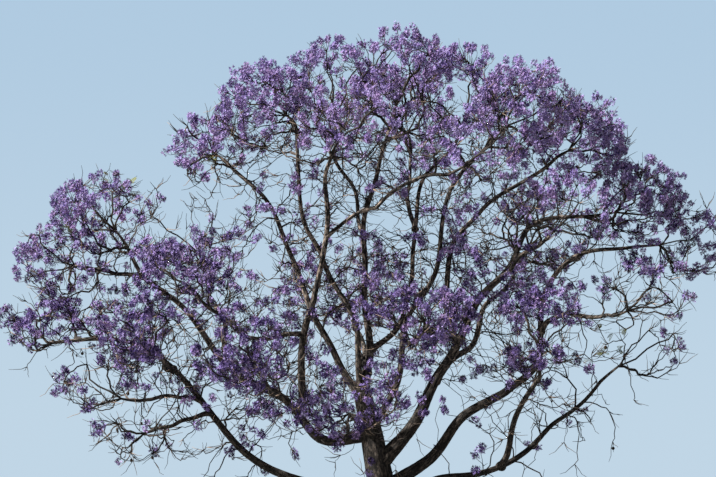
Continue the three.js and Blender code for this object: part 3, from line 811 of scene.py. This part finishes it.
def crowding(points):
    """Each point is moved along its line of sight to the plane y = 0. The clusters add and the
    clearings take away exp(-((x - middle) / width) ^ 2 - ((z - middle) / height) ^ 2) there."""
    sight = points - SEEN_FROM
    seen = SEEN_FROM + sight * (-SEEN_FROM[1] / sight[:, 1:2])
    total = np.zeros(len(points))
    for sign, places in ((1, CLUSTERS), (-1, CLEARINGS)):
        for x, z, width, height in places:
            across, up = (seen[:, 0] - x) / width, (seen[:, 2] - z) / height
            total += sign * np.exp(-across ** 2 - up ** 2)
    return np.clip(total, -1, 1)

# %% [markdown]
# The twigs grow by a simple rule. Of all open goals, the one that is cheapest to reach is joined
# first: the cost is the new twig's length, more for a sharp turn, and a share of the way back to
# the bough. So a few stems grow first and the rest branch from them, as in a real crown. The
# first round is the solids' own fourteen goals. The next one adds finer goals in the same space,
# and others in the loose sleeve of shoots round the bough itself.
# %% Growth
FIRST_GOALS = 14
FIRST_TRIES = 560
BALANCE = 0.4
TURN_COST = 0.5
FIRST_WAY = 0.17
UPTURN = 0.05
FINE_MARGIN = 0.0
FINE_CLEARANCE = 0.04
FINE_OUTERMOST = 0.88
FINE_PER_CUBIC_METRE = 10.3
FINE_SHIFT = 0.5
CROWDED = (0.08, 1.0)
CROWDED_SHOOTS = (0.3, 1.0)
FINE_FROM_OUTWARD = (-1.6, 0.5)
SHOOTS_PER_METRE = 20.0
SHOOT_FROM = 0.3
SHOOT_REACH = (0.3, 1.9)
SHOOT_RISE = 0.3
SHOOT_SHIFT = 0.25
BUD_STEP = 0.3
BUD_AHEAD = 0.01
TAKEN = 1e6
FULLNESS = {"high_left": 1.5, "upper_left": 1.6, "top_left": 1.4, "top": 1.2, "top_right": 1.2,
            "front_top_left": 0.75, "front_top_right": 0.85, "upper_right": 1.9,
            "shoulder_right": 1.4, "shoulder_left": 1.6, "far_left": 1.8, "low_left": 1.5,
            "front_left_high": 1.3, "front_left": 2.0, "front_middle": 1.6, "front_low": 2.2,
            "front_low_left": 1.6, "front_right": 1.5, "front_right_high": 0.8,
            "back_right": 1.1, "back_left": 1.15, "back_middle": 1.2, "back_top": 1.2,
            "outer_right": 1.3, "far_right": 1.2, "low_right": 0.8, "droop_right": 0.7,
            "droop_left": 1.1, "foot_left": 1.1}


class Growth:
    """The nodes of one mass's twigs: where each is, the way it points, how far back the bough is
    along the twigs, and the node it grows from, or -1 for a place on the bough itself."""

    def __init__(self, number):
        limb = limbs[PLACES[number]]
        self.number = number
        self.at = [limb["stem"][-1]]
        self.way = [limb["stem_way"]]
        self.path = [limb["stem_length"]]
        self.parent = [-1]

    def add(self, at, way, path, parent):
        self.at.append(at)
        self.way.append(way)
        self.path.append(path)
        self.parent.append(parent)

    def offer(self, node, goals, cost, source):
        """Lowers the cost of each goal that this node reaches more cheaply."""
        line = goals - self.at[node]
        length = np.linalg.norm(line, axis=1)
        turn = 1 - line @ self.way[node] / length
        price = length * (1 + TURN_COST * turn) + BALANCE * self.path[node]
        cheaper = price < cost
        cost[cheaper] = price[cheaper]
        source[cheaper] = node

    def reach(self, goals, fits):
        cost = np.full(len(goals), np.inf)
        source = np.zeros(len(goals), int)
        for node in range(len(self.at)):
            self.offer(node, goals, cost, source)
        for _ in range(len(goals)):
            goal = int(cost.argmin())
            parent, end = source[goal], goals[goal].copy()
            start = self.at[parent]
            length = np.linalg.norm(end - start)
            bend = (start + end) / 2 + FIRST_WAY * length * self.way[parent]
            bend[2] -= UPTURN * length
            goals[goal] = end + TAKEN
            cost[goal] = np.inf
            if fits(bend[None])[0]:
                self.add(end, unit(end - bend), self.path[parent] + length, parent)
                open_goals = np.isfinite(cost)
                self.offer(len(self.at) - 1, goals, cost, source)
                cost[~open_goals] = np.inf


def shoot_goals(number, count):
    """Points round the outer part of the bough, some way out from it and a little up."""
    limb = limbs[PLACES[number]]
    along, turn, out = evenly(count, number + SHOOT_SHIFT)
    path = limb["point"](mix(SHOOT_FROM, 1, along))
    way = unit(limb["point"](1) - limb["point"](SHOOT_FROM))
    side = unit(np.cross(way, UP))
    over = np.cross(side, way)
    out = mix(*SHOOT_REACH, out)[:, None]
    turn = 2 * np.pi * turn[:, None]
    return path + out * (np.cos(turn) * side + np.sin(turn) * over + SHOOT_RISE * UP)


def thinned(points, kept_shares):
    """The points that are drawn: a larger share where the blossom crowds."""
    return draws(len(points), 11) < mix(*kept_shares, (1 + crowding(points)) / 2)


def grow(number):
    """The first round of goals grows from the stem. Then buds are set along the bough, and the
    finer goals and the sleeve's are reached from either."""
    place = PLACES[number]
    limb = limbs[place]
    growth = Growth(number)
    goals = goals_in(number, FIRST_TRIES, number, OUTERMOST)
    goals = goals[belongs(number, goals, SPACE_MARGIN, LIMB_MARGIN)][:FIRST_GOALS]
    growth.reach(goals, lambda at: belongs(number, at, SPACE_MARGIN, LIMB_MARGIN))
    buds = np.arange(SHOOT_FROM, 1, BUD_STEP / limb["length"])
    ways = unit(limb["point"](buds + BUD_AHEAD) - limb["point"](buds))
    for at, way in zip(limb["point"](buds), ways):
        growth.add(at, way, 0.0, -1)
    fullness = FULLNESS.get(place, 1.0)
    volume = 4 / 3 * np.pi * REACHES[number].prod()
    tries = int(FINE_PER_CUBIC_METRE * volume * fullness)
    fine = goals_in(number, tries, number + FINE_SHIFT, FINE_OUTERMOST)
    fine = fine[belongs(number, fine, FINE_MARGIN, FINE_CLEARANCE)]
    least = mix(*FINE_FROM_OUTWARD, draws(len(fine), 7)) - crowding(fine)
    fine = fine[(outward(number, fine) > least) & thinned(fine, CROWDED)]
    sleeve = limb["length"] * (1 - SHOOT_FROM)
    shoots = shoot_goals(number, int(SHOOTS_PER_METRE * sleeve * fullness))
    shoots = shoots[clear_of_limbs(number, shoots, FINE_CLEARANCE)]
    shoots = shoots[thinned(shoots, CROWDED_SHOOTS)]
    growth.reach(np.concatenate([fine, shoots]),
                 lambda at: clear_of_limbs(number, at, FINE_CLEARANCE))
    return growth


growths = [grow(number) for number in range(len(PLACES))]
print(sum(len(growth.at) for growth in growths), "places where twigs start or end")

# %% [markdown]
# A twig is as thick as the ends that it feeds ask for: the more of them, the thicker. Every
# last twig parts into a few short spurs that each hold up one panicle, the cone of flowers at a
# jacaranda's twig end, so its panicles stand close together and look like one ball of blossom.
# Other places on the twigs carry such a ball too, or bare shoots, which are longer.
# %% Twigs
LEAST_TWIG = 0.008
GIRTH_POWER = 0.45
TWIG_RINGS = 6
TWIG_CLASSES = [(0.02, 6), (0.011, 4), (0.0, 3)]
TWIG_SWELL = 1.25
TWIG_SINK = 0.9
WANDER = 0.045
WANDER_TURNS = 1.6
END_SPURS = (2, 4)
PASSING_SPURS = (1, 3)
PASSING_SHARE = 0.5
INNER_BARE = (-0.2, 0.75)
BARE = {"droop_right": 0.5, "low_right": 0.35, "droop_left": 0.5, "foot_left": 0.5,
        "front_low_left": 0.3, "far_right": 0.2}
SLEEVE_BARE_SHARE = 0.6
CROWDED_FLOWERS = 0.7
BARE_SHOOTS = (2, 5)
SPUR_LENGTH = (0.04, 0.13)
SHOOT_LENGTH = (0.2, 0.65)
SPUR_SPREAD = 0.9
SPUR_RISE = 0.28
SPUR_RINGS = 3
SHOOT_RINGS = 4
SPUR_ROOM = 0.25
OVERHANG = 0.1


def girths(growth, spurs):
    """Loads are added up from the ends down to the stem. A twig's radius grows with a power of its
    load, and the stem's is at most that of the bough's tip."""
    load = spurs.astype(float)
    for node in range(len(load) - 1, 0, -1):
        parent = growth.parent[node]
        if parent >= 0:
            load[parent] += load[node]
    least = min(BOUGH_TIP_RADIUS / load[0] ** GIRTH_POWER, LEAST_TWIG)
    return least * np.maximum(load, 1) ** GIRTH_POWER


def random_ways(count):
    return unit(rng.normal(size=(count, 3)))


def arcs(start, bend, end, rings):
    """A Bezier curve for each row of start, bend and end."""
    return bezier([start[:, None], bend[:, None], end[:, None]], np.linspace(0, 1, rings))


def wandering(paths):
    """Each path pushed aside by slow waves that fade at both its ends."""
    count, rings = paths.shape[:2]
    t = np.linspace(0, 1, rings)
    length = np.linalg.norm(paths[:, -1] - paths[:, 0], axis=1)[:, None]
    across = frames_along(paths)
    for direction in across:
        phase = rng.uniform(0, 2 * np.pi, (count, 1))
        swing = WANDER * length * np.sin(np.pi * t) * np.sin(2 * np.pi * WANDER_TURNS * t + phase)
        paths = paths + swing[..., None] * direction
    return paths


def twig_paths(growth, spurs):
    """Every node that grows from another: a curve that starts out its parent's way and turns up,
    through the same bend as in the growth rule, and the radii along it."""
    node = np.array([i for i, parent in enumerate(growth.parent) if parent >= 0])
    parent = np.array(growth.parent)[node]
    at, way = np.array(growth.at), np.array(growth.way)
    start, end = at[parent], at[node]
    length = np.linalg.norm(end - start, axis=1)[:, None]
    pull = (start + end) / 2 + 2 * length * (FIRST_WAY * way[parent] - UPTURN * UP)
    girth = girths(growth, spurs)
    thin = girth[node]
    on_bough = np.array(growth.parent)[parent] < 0
    thick = np.minimum(np.where(on_bough, np.inf, girth[parent] * TWIG_SINK), thin * TWIG_SWELL)
    share = np.linspace(0, 1, TWIG_RINGS)
    return wandering(arcs(start, pull, end, TWIG_RINGS)), mix(thick[:, None], thin[:, None], share)


def spur_paths(growth, spurs, lengths, rings):
    """Short twigs that leave a node slanting out and bend upwards, and the way that each ends."""
    node = np.repeat(np.arange(len(spurs)), spurs)
    at, way = np.array(growth.at)[node], np.array(growth.way)[node]
    count = len(node)
    length = rng.uniform(*lengths, (count, 1))
    out = unit(way + SPUR_SPREAD * random_ways(count))
    bend = at + out * length / 2
    end = bend + unit(out + 2 * SPUR_RISE * UP) * length / 2
    kept = within_reach(end + SPUR_ROOM * unit(end - bend))
    at, bend, end = at[kept], bend[kept], end[kept]
    return arcs(at, bend, end, rings), unit(end - bend)


def within_reach(tips):
    """True where a tip keeps inside the solids' own box, give or take the overhang."""
    low, high = np.array(solid_box[0]) - OVERHANG, np.array(solid_box[1]) + OVERHANG
    return ((tips > low) & (tips < high)).all(1)


def spur_counts(growth, place):
    """How many flowering spurs and how many bare shoots each node bears. There are none on the
    bough itself, and fewer flowers round the bough, outside the mass's own space."""
    parent = np.array(growth.parent)
    count = len(parent)
    last = ~np.isin(np.arange(count), parent)
    chosen = last | (rng.random(count) < PASSING_SHARE)
    at = np.array(growth.at)
    depth = np.linalg.norm((at - CROWNS[growth.number]) / REACHES[growth.number], axis=1)
    inner = np.clip(mix(*INNER_BARE, (1 - outward(growth.number, at)) / 2), 0, 1)
    bare_share = np.where(depth > 1, SLEEVE_BARE_SHARE, np.maximum(inner, BARE.get(place, 0)))
    bare_share = np.clip(bare_share - CROWDED_FLOWERS * crowding(at), 0, 1)
    in_flower = chosen & (rng.random(count) > bare_share)
    spurs = np.where(last, rng.integers(*END_SPURS, count), rng.integers(*PASSING_SPURS, count))
    on_twig = parent >= 0
    return spurs * (in_flower & on_twig), rng.integers(*BARE_SHOOTS, count) * (~in_flower & on_twig)


twigs = {}
for growth, place in zip(growths, PLACES):
    spurs, bare = spur_counts(growth, place)
    paths, radii = twig_paths(growth, spurs + bare)
    ends, ways = spur_paths(growth, spurs, SPUR_LENGTH, SPUR_RINGS)
    shoots, shoot_ways = spur_paths(growth, bare, SHOOT_LENGTH, SHOOT_RINGS)
    twigs[place] = {"paths": paths, "radii": radii, "spurs": ends, "ways": ways,
                    "shoots": wandering(shoots), "shoot_ways": shoot_ways}
for kind in ("paths", "spurs", "shoots"):
    print(sum(len(mass[kind]) for mass in twigs.values()), kind)

# %% [markdown]
# The finest twigs are thinner than a pixel from where this tree is seen. Three sides are enough
# for them, and four or six for the thicker ones. Their bark has plain colours, dealt out twig by
# twig, because a pattern would be lost at their size. Some bare shoots are last year's flower
# stalks, dried to the colour of straw.
# %% Twig pieces
def plain_look(name, colour, roughness=0.85, **wants):
    look, _, surface = blank_look(name)
    feed(surface, Base_Color=(*colour, 1), Roughness=roughness, **wants)
    return look


TWIG_LOOKS = [plain_look("twig_brown", (0.032, 0.026, 0.022), 0.9),
              plain_look("twig_grey", (0.12, 0.095, 0.08), 0.9),
              plain_look("twig_dark", (0.016, 0.012, 0.011), 0.9),
              plain_look("stalk_straw", (0.34, 0.25, 0.19), 0.9)]
TWIG_SHARES = (0.45, 0.1, 0.45, 0)
SHOOT_SHARES = (0.35, 0.2, 0.25, 0.2)
STALK_LOOK = plain_look("stalk_green_brown", (0.115, 0.105, 0.052), 0.8)
SPUR_RADII = (0.0065, 0.0045)
SHOOT_RADII = (0.012, 0.005)


def tube_batches(mass):
    """The twigs of a mass sorted by thickness, each class with its number of sides and the shares
    in which its looks are dealt out."""
    thickest = mass["radii"].max(1)
    upper = np.inf
    for least, sides in TWIG_CLASSES:
        chosen = (thickest >= least) & (thickest < upper)
        upper = least
        if chosen.any():
            yield mass["paths"][chosen], mass["radii"][chosen], sides, TWIG_SHARES
    for paths, radii, shares in ((mass["spurs"], SPUR_RADII, TWIG_SHARES),
                                 (mass["shoots"], SHOOT_RADII, SHOOT_SHARES)):
        thinning = np.broadcast_to(np.linspace(*radii, paths.shape[1]), paths.shape[:2])
        yield paths, thinning, TWIG_CLASSES[-1][1], shares


def needles(feet, tips, width):
    """A thin closed three-sided spike from each foot to its tip: four faces each."""
    along = unit(tips - feet)
    side = unit(np.cross(along, along[:, [2, 0, 1]] + 0.1))
    other = np.cross(along, side)
    ring = [feet + width * (math.cos(a) * side + math.sin(a) * other) for a in angles(3)]
    points = np.stack([*ring, tips], 1).reshape(-1, 3)
    shape = np.array([[0, 2, 1], [0, 1, 3], [1, 2, 3], [2, 0, 3]])
    faces = (shape + 4 * np.arange(len(feet))[:, None, None]).reshape(-1, 3)
    return points, [faces]

# %% [markdown]
# A panicle is a loose cone of flowers, each one a slightly drooping trumpet with five spreading
# lobes. From this far a flower covers only a few pixels, so it has eight faces: three for the tube
# and five for the lobes. It is drawn nearly twice as large as in life, because a real panicle has
# three times as many.
# %% Panicles
FLOWERS = 16
FLOWERS_KEPT = 0.92
PANICLE_LENGTH = (0.13, 0.22)
PANICLE_RADIUS = 0.072
PANICLE_TAPER = 0.6
PANICLE_RISE = 0.35
PLACE_JITTER = (-0.04, 0.04)
TURN_JITTER = (-0.5, 0.5)
RADIUS_JITTER = (0.6, 1.15)
FLOWER_LENGTH = (0.064, 0.088)
FLOWER_DROOP = 0.25
DROOP_JITTER = (-2, 0.8)
FLOWER_LEAN = 0.35
FLOWER_SCATTER = 0.25
FOOT_SHARE = 0.5
GOLDEN_TURN = 2.39996
THROAT = (0.62, 0.28)
LOBE_TIP = (0.90, 0.66)
STALKS = 2
STALK_WIDTH = 0.0022
STALK_SINK = 0.02


def panicle_frames(ways):
    axis = unit(ways + PANICLE_RISE * UP)
    side = unit(np.cross(axis, random_ways(len(axis))))
    return axis, side, np.cross(axis, side)


def flower_places(feet, ways):
    """Flower k of a panicle is at share (k + 0.5) / n of its length, turned by the golden angle
    each time, and further in the higher it is. Gives the flowers' feet and directions."""
    count = len(feet)
    axis, side, other = panicle_frames(ways)
    share = (np.arange(FLOWERS) + 0.5) / FLOWERS
    share = share + rng.uniform(*PLACE_JITTER, (count, FLOWERS))
    angle = GOLDEN_TURN * np.arange(FLOWERS) + rng.uniform(0, 2 * np.pi, (count, 1))
    angle = (angle + rng.uniform(*TURN_JITTER, (count, FLOWERS)))[..., None]
    out = np.cos(angle) * side[:, None] + np.sin(angle) * other[:, None]
    length = rng.uniform(*PANICLE_LENGTH, (count, 1, 1))
    radius = PANICLE_RADIUS * (1 - PANICLE_TAPER * share) * rng.uniform(*RADIUS_JITTER, share.shape)
    on_axis = feet[:, None] + axis[:, None] * length * share[..., None]
    at = on_axis + out * radius[..., None] * FOOT_SHARE
    droop = rng.uniform(*DROOP_JITTER, share.shape)[..., None] * FLOWER_DROOP * UP
    way = unit(out + FLOWER_LEAN * axis[:, None] + droop
               + FLOWER_SCATTER * rng.normal(size=at.shape))
    return on_axis, at, way


def flowers(at, way):
    """The trumpet's points turned into each flower's own frame: across * x + over * y + way * z,
    times its length. The tube is a three-sided cone up to the rim of five points, and each of the
    five lobes stands on one side of the rim."""
    count = len(at)
    k = np.arange(5)
    corner, middle = angles(5), 2 * np.pi * (k + 0.5) / 5
    rings = [np.stack([np.cos(a) * width, np.sin(a) * width, np.full(5, height)], -1)
             for a, (height, width) in ((corner, THROAT), (middle, LOBE_TIP))]
    shape = np.concatenate([np.zeros((1, 3)), *rings])
    across = unit(np.cross(way, random_ways(count)))
    over = np.cross(way, across)
    size = rng.uniform(*FLOWER_LENGTH, (count, 1, 1))
    turned = (shape[None, :, :1] * across[:, None] + shape[None, :, 1:2] * over[:, None]
              + shape[None, :, 2:] * way[:, None])
    points = (at[:, None] + size * turned).reshape(-1, 3)
    tube = np.array([[0, 3, 1], [0, 5, 3], [0, 1, 5]])
    lobe = np.stack([1 + k, 1 + (k + 1) % 5, 6 + k], -1)
    starts = (11 * np.arange(count))[:, None, None]
    return points, (tube + starts).reshape(-1, 3), (lobe + starts).reshape(-1, 3)

# %% [markdown]
# Jacaranda blossom is violet-blue, but no two panicles match. Five tints, each with its own
# colour for the tube, are dealt out panicle by panicle, and again to about a third of the flowers,
# those that open early or late. The bluer tints have tubes darker than their lobes. Where the tints
# are dealt paints light and shade: paler, pinker ones crowd at the top as painted sunlight, and
# bluer ones and a near-black one crowd low down as painted shade.
# %% Blossom colours
TINTS = {
    "lilac": ((0.38, 0.305, 0.62), (0.38, 0.30, 0.63)),
    "mauve": ((0.41, 0.285, 0.57), (0.38, 0.26, 0.55)),
    "violet": ((0.28, 0.205, 0.52), (0.12, 0.08, 0.30)),
    # The deep tint is painted shade: near-black lobes and tubes for the crown's shaded underside.
    "deep": ((0.055, 0.032, 0.14), (0.012, 0.008, 0.045)),
    "pale": ((0.46, 0.41, 0.69), (0.42, 0.36, 0.66)),
}
# Low down the shares favour violet and the deep tint as painted shade; at the top they favour
# lilac, mauve and pale as painted sunlight.
SHADED_LOW_SHARES = (0.15, 0.13, 0.30, 0.40, 0.02)
SUNLIT_HIGH_SHARES = (0.46, 0.36, 0.08, 0.02, 0.08)
PAINTED_LIGHT_HEIGHTS = (5.0, 11.0)
STRAY_SHARE = 0.35


def tint_looks():
    looks = []
    for name, (lobes, tube) in TINTS.items():
        looks.append(plain_look(f"tube_{name}", tube, 0.6))
        looks.append(plain_look(f"lobes_{name}", lobes, 0.8, Specular_IOR_Level=0.15))
    return looks


BLOSSOM_LOOKS = tint_looks()


def dealt(at):
    """A tint's number for each panicle: its shares go from the low ones, painted shade, to the high
    ones, painted sunlight, with the panicle's height."""
    height = np.clip((at[:, 2] - PAINTED_LIGHT_HEIGHTS[0]) / (PAINTED_LIGHT_HEIGHTS[1] - PAINTED_LIGHT_HEIGHTS[0]), 0, 1)
    shares = mix(np.array(SHADED_LOW_SHARES), np.array(SUNLIT_HIGH_SHARES), height[:, None])
    drawn = rng.random((len(at), 1))
    return (drawn > np.cumsum(shares, 1)[:, :-1]).sum(1)


def dress_masses(side, places):
    """The twigs and the blossom of one side of the crown, each as one piece."""
    wood, blossom, blossom_worn, wood_worn = [], [], [], []
    for place in places:
        mass = twigs[place]
        for paths, radii, sides, shares in tube_batches(mass):
            wood.append(tubes(paths, radii, sides))
            worn = rng.choice(len(TWIG_LOOKS), len(paths), p=shares)
            wood_worn += [np.repeat(worn, len(block) // len(paths)) for block in wood[-1][1]]
        feet = mass["spurs"][:, -1]
        on_axis, at, way = flower_places(feet, mass["ways"])
        wood.append(needles(feet, on_axis[:, -1], 2 * STALK_WIDTH))
        stalks = slice(1, FLOWERS, FLOWERS // STALKS)
        wood.append(needles(on_axis[:, stalks].reshape(-1, 3),
                            (at + STALK_SINK * way)[:, stalks].reshape(-1, 3),
                            STALK_WIDTH))
        wood_worn += [np.full(len(part[1][0]), len(TWIG_LOOKS)) for part in wood[-2:]]
        kept = rng.random(at.shape[:2]) < FLOWERS_KEPT
        points, tube, lobe = flowers(at[kept], way[kept])
        stray = rng.random(kept.sum()) < STRAY_SHARE
        tint = np.where(stray, dealt(at[kept]), np.repeat(dealt(feet), kept.sum(1)))
        blossom.append((points, [tube, lobe]))
        blossom_worn += [np.repeat(2 * tint, 3), np.repeat(2 * tint + 1, 5)]
    for kind, slot, parts, looks, worn in (
            ("twigs", "bark", wood, [*TWIG_LOOKS, STALK_LOOK], wood_worn),
            ("panicles", "blossom", blossom, BLOSSOM_LOOKS, blossom_worn)):
        piece = mesh_piece(f"{kind}_{side}", *joined(parts), looks, worn)
        stand_in(piece, [f"blossom_{place}" for place in places])


for side, places in SIDES_OF_CROWN.items():
    dress_masses(side, places)

# %% [markdown]
# A jacaranda flowers before its leaves are out, so only a few tufts of young ones show,
# yellow-green or still bronze. A leaf is a frond like a fern's: its stalk arches over and bears
# pairs of narrow blades, the longest in the middle. In life each blade is a row of tiny leaflets.
# %% Young leaves
BLADE_PAIRS = 7
BLADE_LENGTH = 0.42
BLADE_WIDTH = 0.12
BLADE_SLANT = 0.4
BLADE_SWELL = (0.15, 0.75)
FIRST_BLADE = 0.7
STALK_KITE = ((0, 0), (0.9, 0.02), (1.15, 0), (0.9, -0.02))
LEAF_ARCH = 0.35
LEAF_LENGTH = (0.13, 0.24)
LEAF_SPREAD = 0.8
TUFTS = {"shoulder_left": ((-7.15, 0.0, 9.7), 9), "far_left": ((-8.3, -0.6, 8.8), 5),
         "high_left": ((-4.8, 0.6, 10.8), 4), "top_right": ((1.0, 0.9, 10.4), 4),
         "low_right": ((6.1, -1.5, 5.3), 9)}
TUFT_LEAVES = 6
LEAF_LOOKS = [plain_look("leaf_yellow_green", (0.20, 0.215, 0.06), 0.7),
              plain_look("leaf_green", (0.12, 0.15, 0.045), 0.7),
              plain_look("leaf_bronze", (0.19, 0.12, 0.06), 0.7)]
LEAF_SHARES = (0.5, 0.3, 0.2)


def frond():
    """One leaf of length 1 along x. A blade is a kite from its foot on the stalk to its tip, and
    the last kite is the stalk with the blade at its end. Then z drops by arch * x squared."""
    foot = (np.arange(BLADE_PAIRS) + FIRST_BLADE) / BLADE_PAIRS
    reach = BLADE_LENGTH * np.sin(np.pi * (BLADE_SWELL[0] + BLADE_SWELL[1] * foot))
    x, y = np.concatenate([foot, foot]), np.zeros(2 * BLADE_PAIRS)
    across = np.concatenate([reach, -reach])
    end_x = x + BLADE_SLANT * np.abs(across)
    wide = BLADE_WIDTH / 2
    middle_x, middle_y = (x + end_x) / 2, across / 2
    kites = [(x, y), (middle_x + wide, middle_y), (end_x, across), (middle_x - wide, middle_y)]
    kites = np.stack([np.stack(corner, -1) for corner in kites], 1)
    flat = np.concatenate([kites, [STALK_KITE]]).reshape(-1, 2)
    points = np.column_stack([flat, -LEAF_ARCH * flat[:, 0] ** 2])
    return points, np.arange(len(points)).reshape(-1, 4)


def placed(shape, faces, at, frame, size):
    """Copies of a shape: size * (x * first + y * second + z * third) from each place."""
    turned = sum(shape[None, :, axis, None] * frame[axis][:, None] for axis in range(3))
    points = (at[:, None] + size[:, None, None] * turned).reshape(-1, 3)
    starts = (len(shape) * np.arange(len(at)))[:, None, None]
    return points, [(block + starts).reshape(-1, block.shape[1]) for block in faces]


def leafy_ends():
    """The twig ends, bare or in flower, that lie nearest to the middle of each tuft."""
    at, ways = [], []
    for place, (middle, count) in TUFTS.items():
        mass = twigs[place]
        ends = np.concatenate([mass["shoots"][:, -1], mass["spurs"][:, -1]])
        end_ways = np.concatenate([mass["shoot_ways"], mass["ways"]])
        nearest = np.argsort(np.linalg.norm(ends - middle, axis=1))[:count]
        at.append(np.repeat(ends[nearest], TUFT_LEAVES, 0))
        ways.append(np.repeat(end_ways[nearest], TUFT_LEAVES, 0))
    return np.concatenate(at), np.concatenate(ways)


def dress_leaves():
    at, ways = leafy_ends()
    way = unit(ways + LEAF_SPREAD * random_ways(len(at)))
    side = unit(np.cross(UP, way))
    shape, faces = frond()
    size = rng.uniform(*LEAF_LENGTH, len(at))
    points, blocks = placed(shape, [faces], at, (way, side, np.cross(way, side)), size)
    worn = np.repeat(rng.choice(len(LEAF_LOOKS), len(at), p=LEAF_SHARES), len(faces))
    leaves = mesh_piece("young_leaves", points, blocks, LEAF_LOOKS, [worn], smooth=False)
    stand_in(leaves, [f"blossom_{place}" for place in TUFTS])
    print(len(at), "leaves")


dress_leaves()

# %% [markdown]
# A few of last year's pods still hang from bare shoots low in the crown. A jacaranda's pod is
# unlike any other tree's: a flat, round, woody disc with a wavy edge, that opens like a purse.
# %% Pods
PODS = {"droop_left": 9, "foot_left": 10, "low_left": 4, "front_low_left": 6, "low_right": 3,
        "droop_right": 6}
POD_CORNERS = 10
POD_RADIUS = (0.042, 0.056)
POD_SWELL = 0.2
POD_WAVE = 0.14
POD_STALK = (0.01, 0.05)
POD_STALK_WIDTH = 0.006
POD_LOOKS = [plain_look("pod_brown", (0.075, 0.045, 0.028), 0.7),
             plain_look("pod_dark", (0.030, 0.020, 0.015), 0.7)]


def pod():
    """A disc in the xz plane that hangs from the origin: its rim is (sin a, wave * sin 3a, -1 - cos
    a), and a point in front of its middle and one behind make it swell."""
    a = angles(POD_CORNERS)
    rim = np.stack([np.sin(a), POD_WAVE * np.sin(3 * a), -1 - np.cos(a)], -1)
    points = np.concatenate([rim, [[0, -POD_SWELL, -1], [0, POD_SWELL, -1]]])
    k = np.arange(POD_CORNERS)
    after = (k + 1) % POD_CORNERS
    front, back = np.full(POD_CORNERS, POD_CORNERS), np.full(POD_CORNERS, POD_CORNERS + 1)
    return points, np.concatenate([np.stack([k, after, front], -1), np.stack([after, k, back], -1)])


def dress_pods():
    ends = []
    for place, count in PODS.items():
        shoots = twigs[place]["shoots"][:, 1]
        ends.append(shoots[rng.choice(len(shoots), min(count, len(shoots)), replace=False)])
    ends = np.concatenate(ends)
    count = len(ends)
    hung = ends - rng.uniform(*POD_STALK, (count, 1)) * UP
    turn = rng.uniform(0, 2 * np.pi, count)
    level = np.stack([np.cos(turn), np.sin(turn), 0 * turn], -1)
    up = np.broadcast_to(UP, level.shape)
    shape, faces = pod()
    size = rng.uniform(*POD_RADIUS, count)
    discs = placed(shape, [faces], hung, (level, np.cross(up, level), up), size)
    stalks = needles(ends, hung, POD_STALK_WIDTH)
    worn = [np.repeat(rng.integers(0, 2, count), len(faces)), np.ones(len(stalks[1][0]), int)]
    pods = mesh_piece("pods", *joined([discs, stalks]), POD_LOOKS, worn)
    stand_in(pods, [f"blossom_{place}" for place in PODS])
    print(count, "pods")


dress_pods()

# %% [markdown]
# The light is a studio's version of a clear afternoon: a soft key lamp high on the left, and a
# pale blue backdrop that fills the shadows. The backdrop lights the tree far less strongly than it
# looks, because the shadows in the crown are deep. The floor is plain and pale.
# %% Light and floor
KEY_FROM = (-0.9, -0.22, 0.85)
KEY_STRENGTH = 8.7
KEY_ANGLE = 1.5
KEY_COLOUR = (1.0, 0.965, 0.91)
BACKDROP = ((0.53, 0.67, 0.79, 1), (0.43, 0.59, 0.75, 1))
BACKDROP_HEIGHTS = (0.0, 0.2)
FILL_STRENGTH = 0.15
FLOOR_COLOUR = (0.27, 0.265, 0.25)
FLOOR_RADIUS = 400
FLOOR_CORNERS = 24
FLOOR_DROP = 0.002


def set_light():
    key = bpy.data.lights.new("key", "SUN")
    key.energy = KEY_STRENGTH
    key.angle = math.radians(KEY_ANGLE)
    key.color = KEY_COLOUR
    lamp = bpy.data.objects.new("key", key)
    lamp.rotation_euler = Vector(KEY_FROM).to_track_quat("Z", "Y").to_euler()
    bpy.context.scene.collection.objects.link(lamp)
    world = bpy.data.worlds.new("backdrop")
    world.use_nodes = True
    start = Strand(world.node_tree)
    way = start.node("ShaderNodeTexCoord", {}, {}, "Generated")
    height = way.height().between(*BACKDROP_HEIGHTS)
    seen = start.node("ShaderNodeLightPath", {}, {}, "Is Camera Ray")
    light = mix(FILL_STRENGTH, 1.0, seen)
    background = world.node_tree.nodes["Background"]
    feed(background, Color=height.blend(*BACKDROP), Strength=light)
    bpy.context.scene.world = world
    bpy.context.scene.view_settings.view_transform = "Standard"


def lay_floor():
    """A flat disc, just below the tree's foot: radius * (cos a, sin a)."""
    angle = angles(FLOOR_CORNERS)
    rim = np.stack([FLOOR_RADIUS * np.cos(angle), FLOOR_RADIUS * np.sin(angle),
                    np.full(FLOOR_CORNERS, -FLOOR_DROP)], -1)
    look = plain_look("floor", FLOOR_COLOUR)
    floor = mesh_piece("floor", rim, [np.arange(FLOOR_CORNERS)[None]], [look])


set_light()
lay_floor()
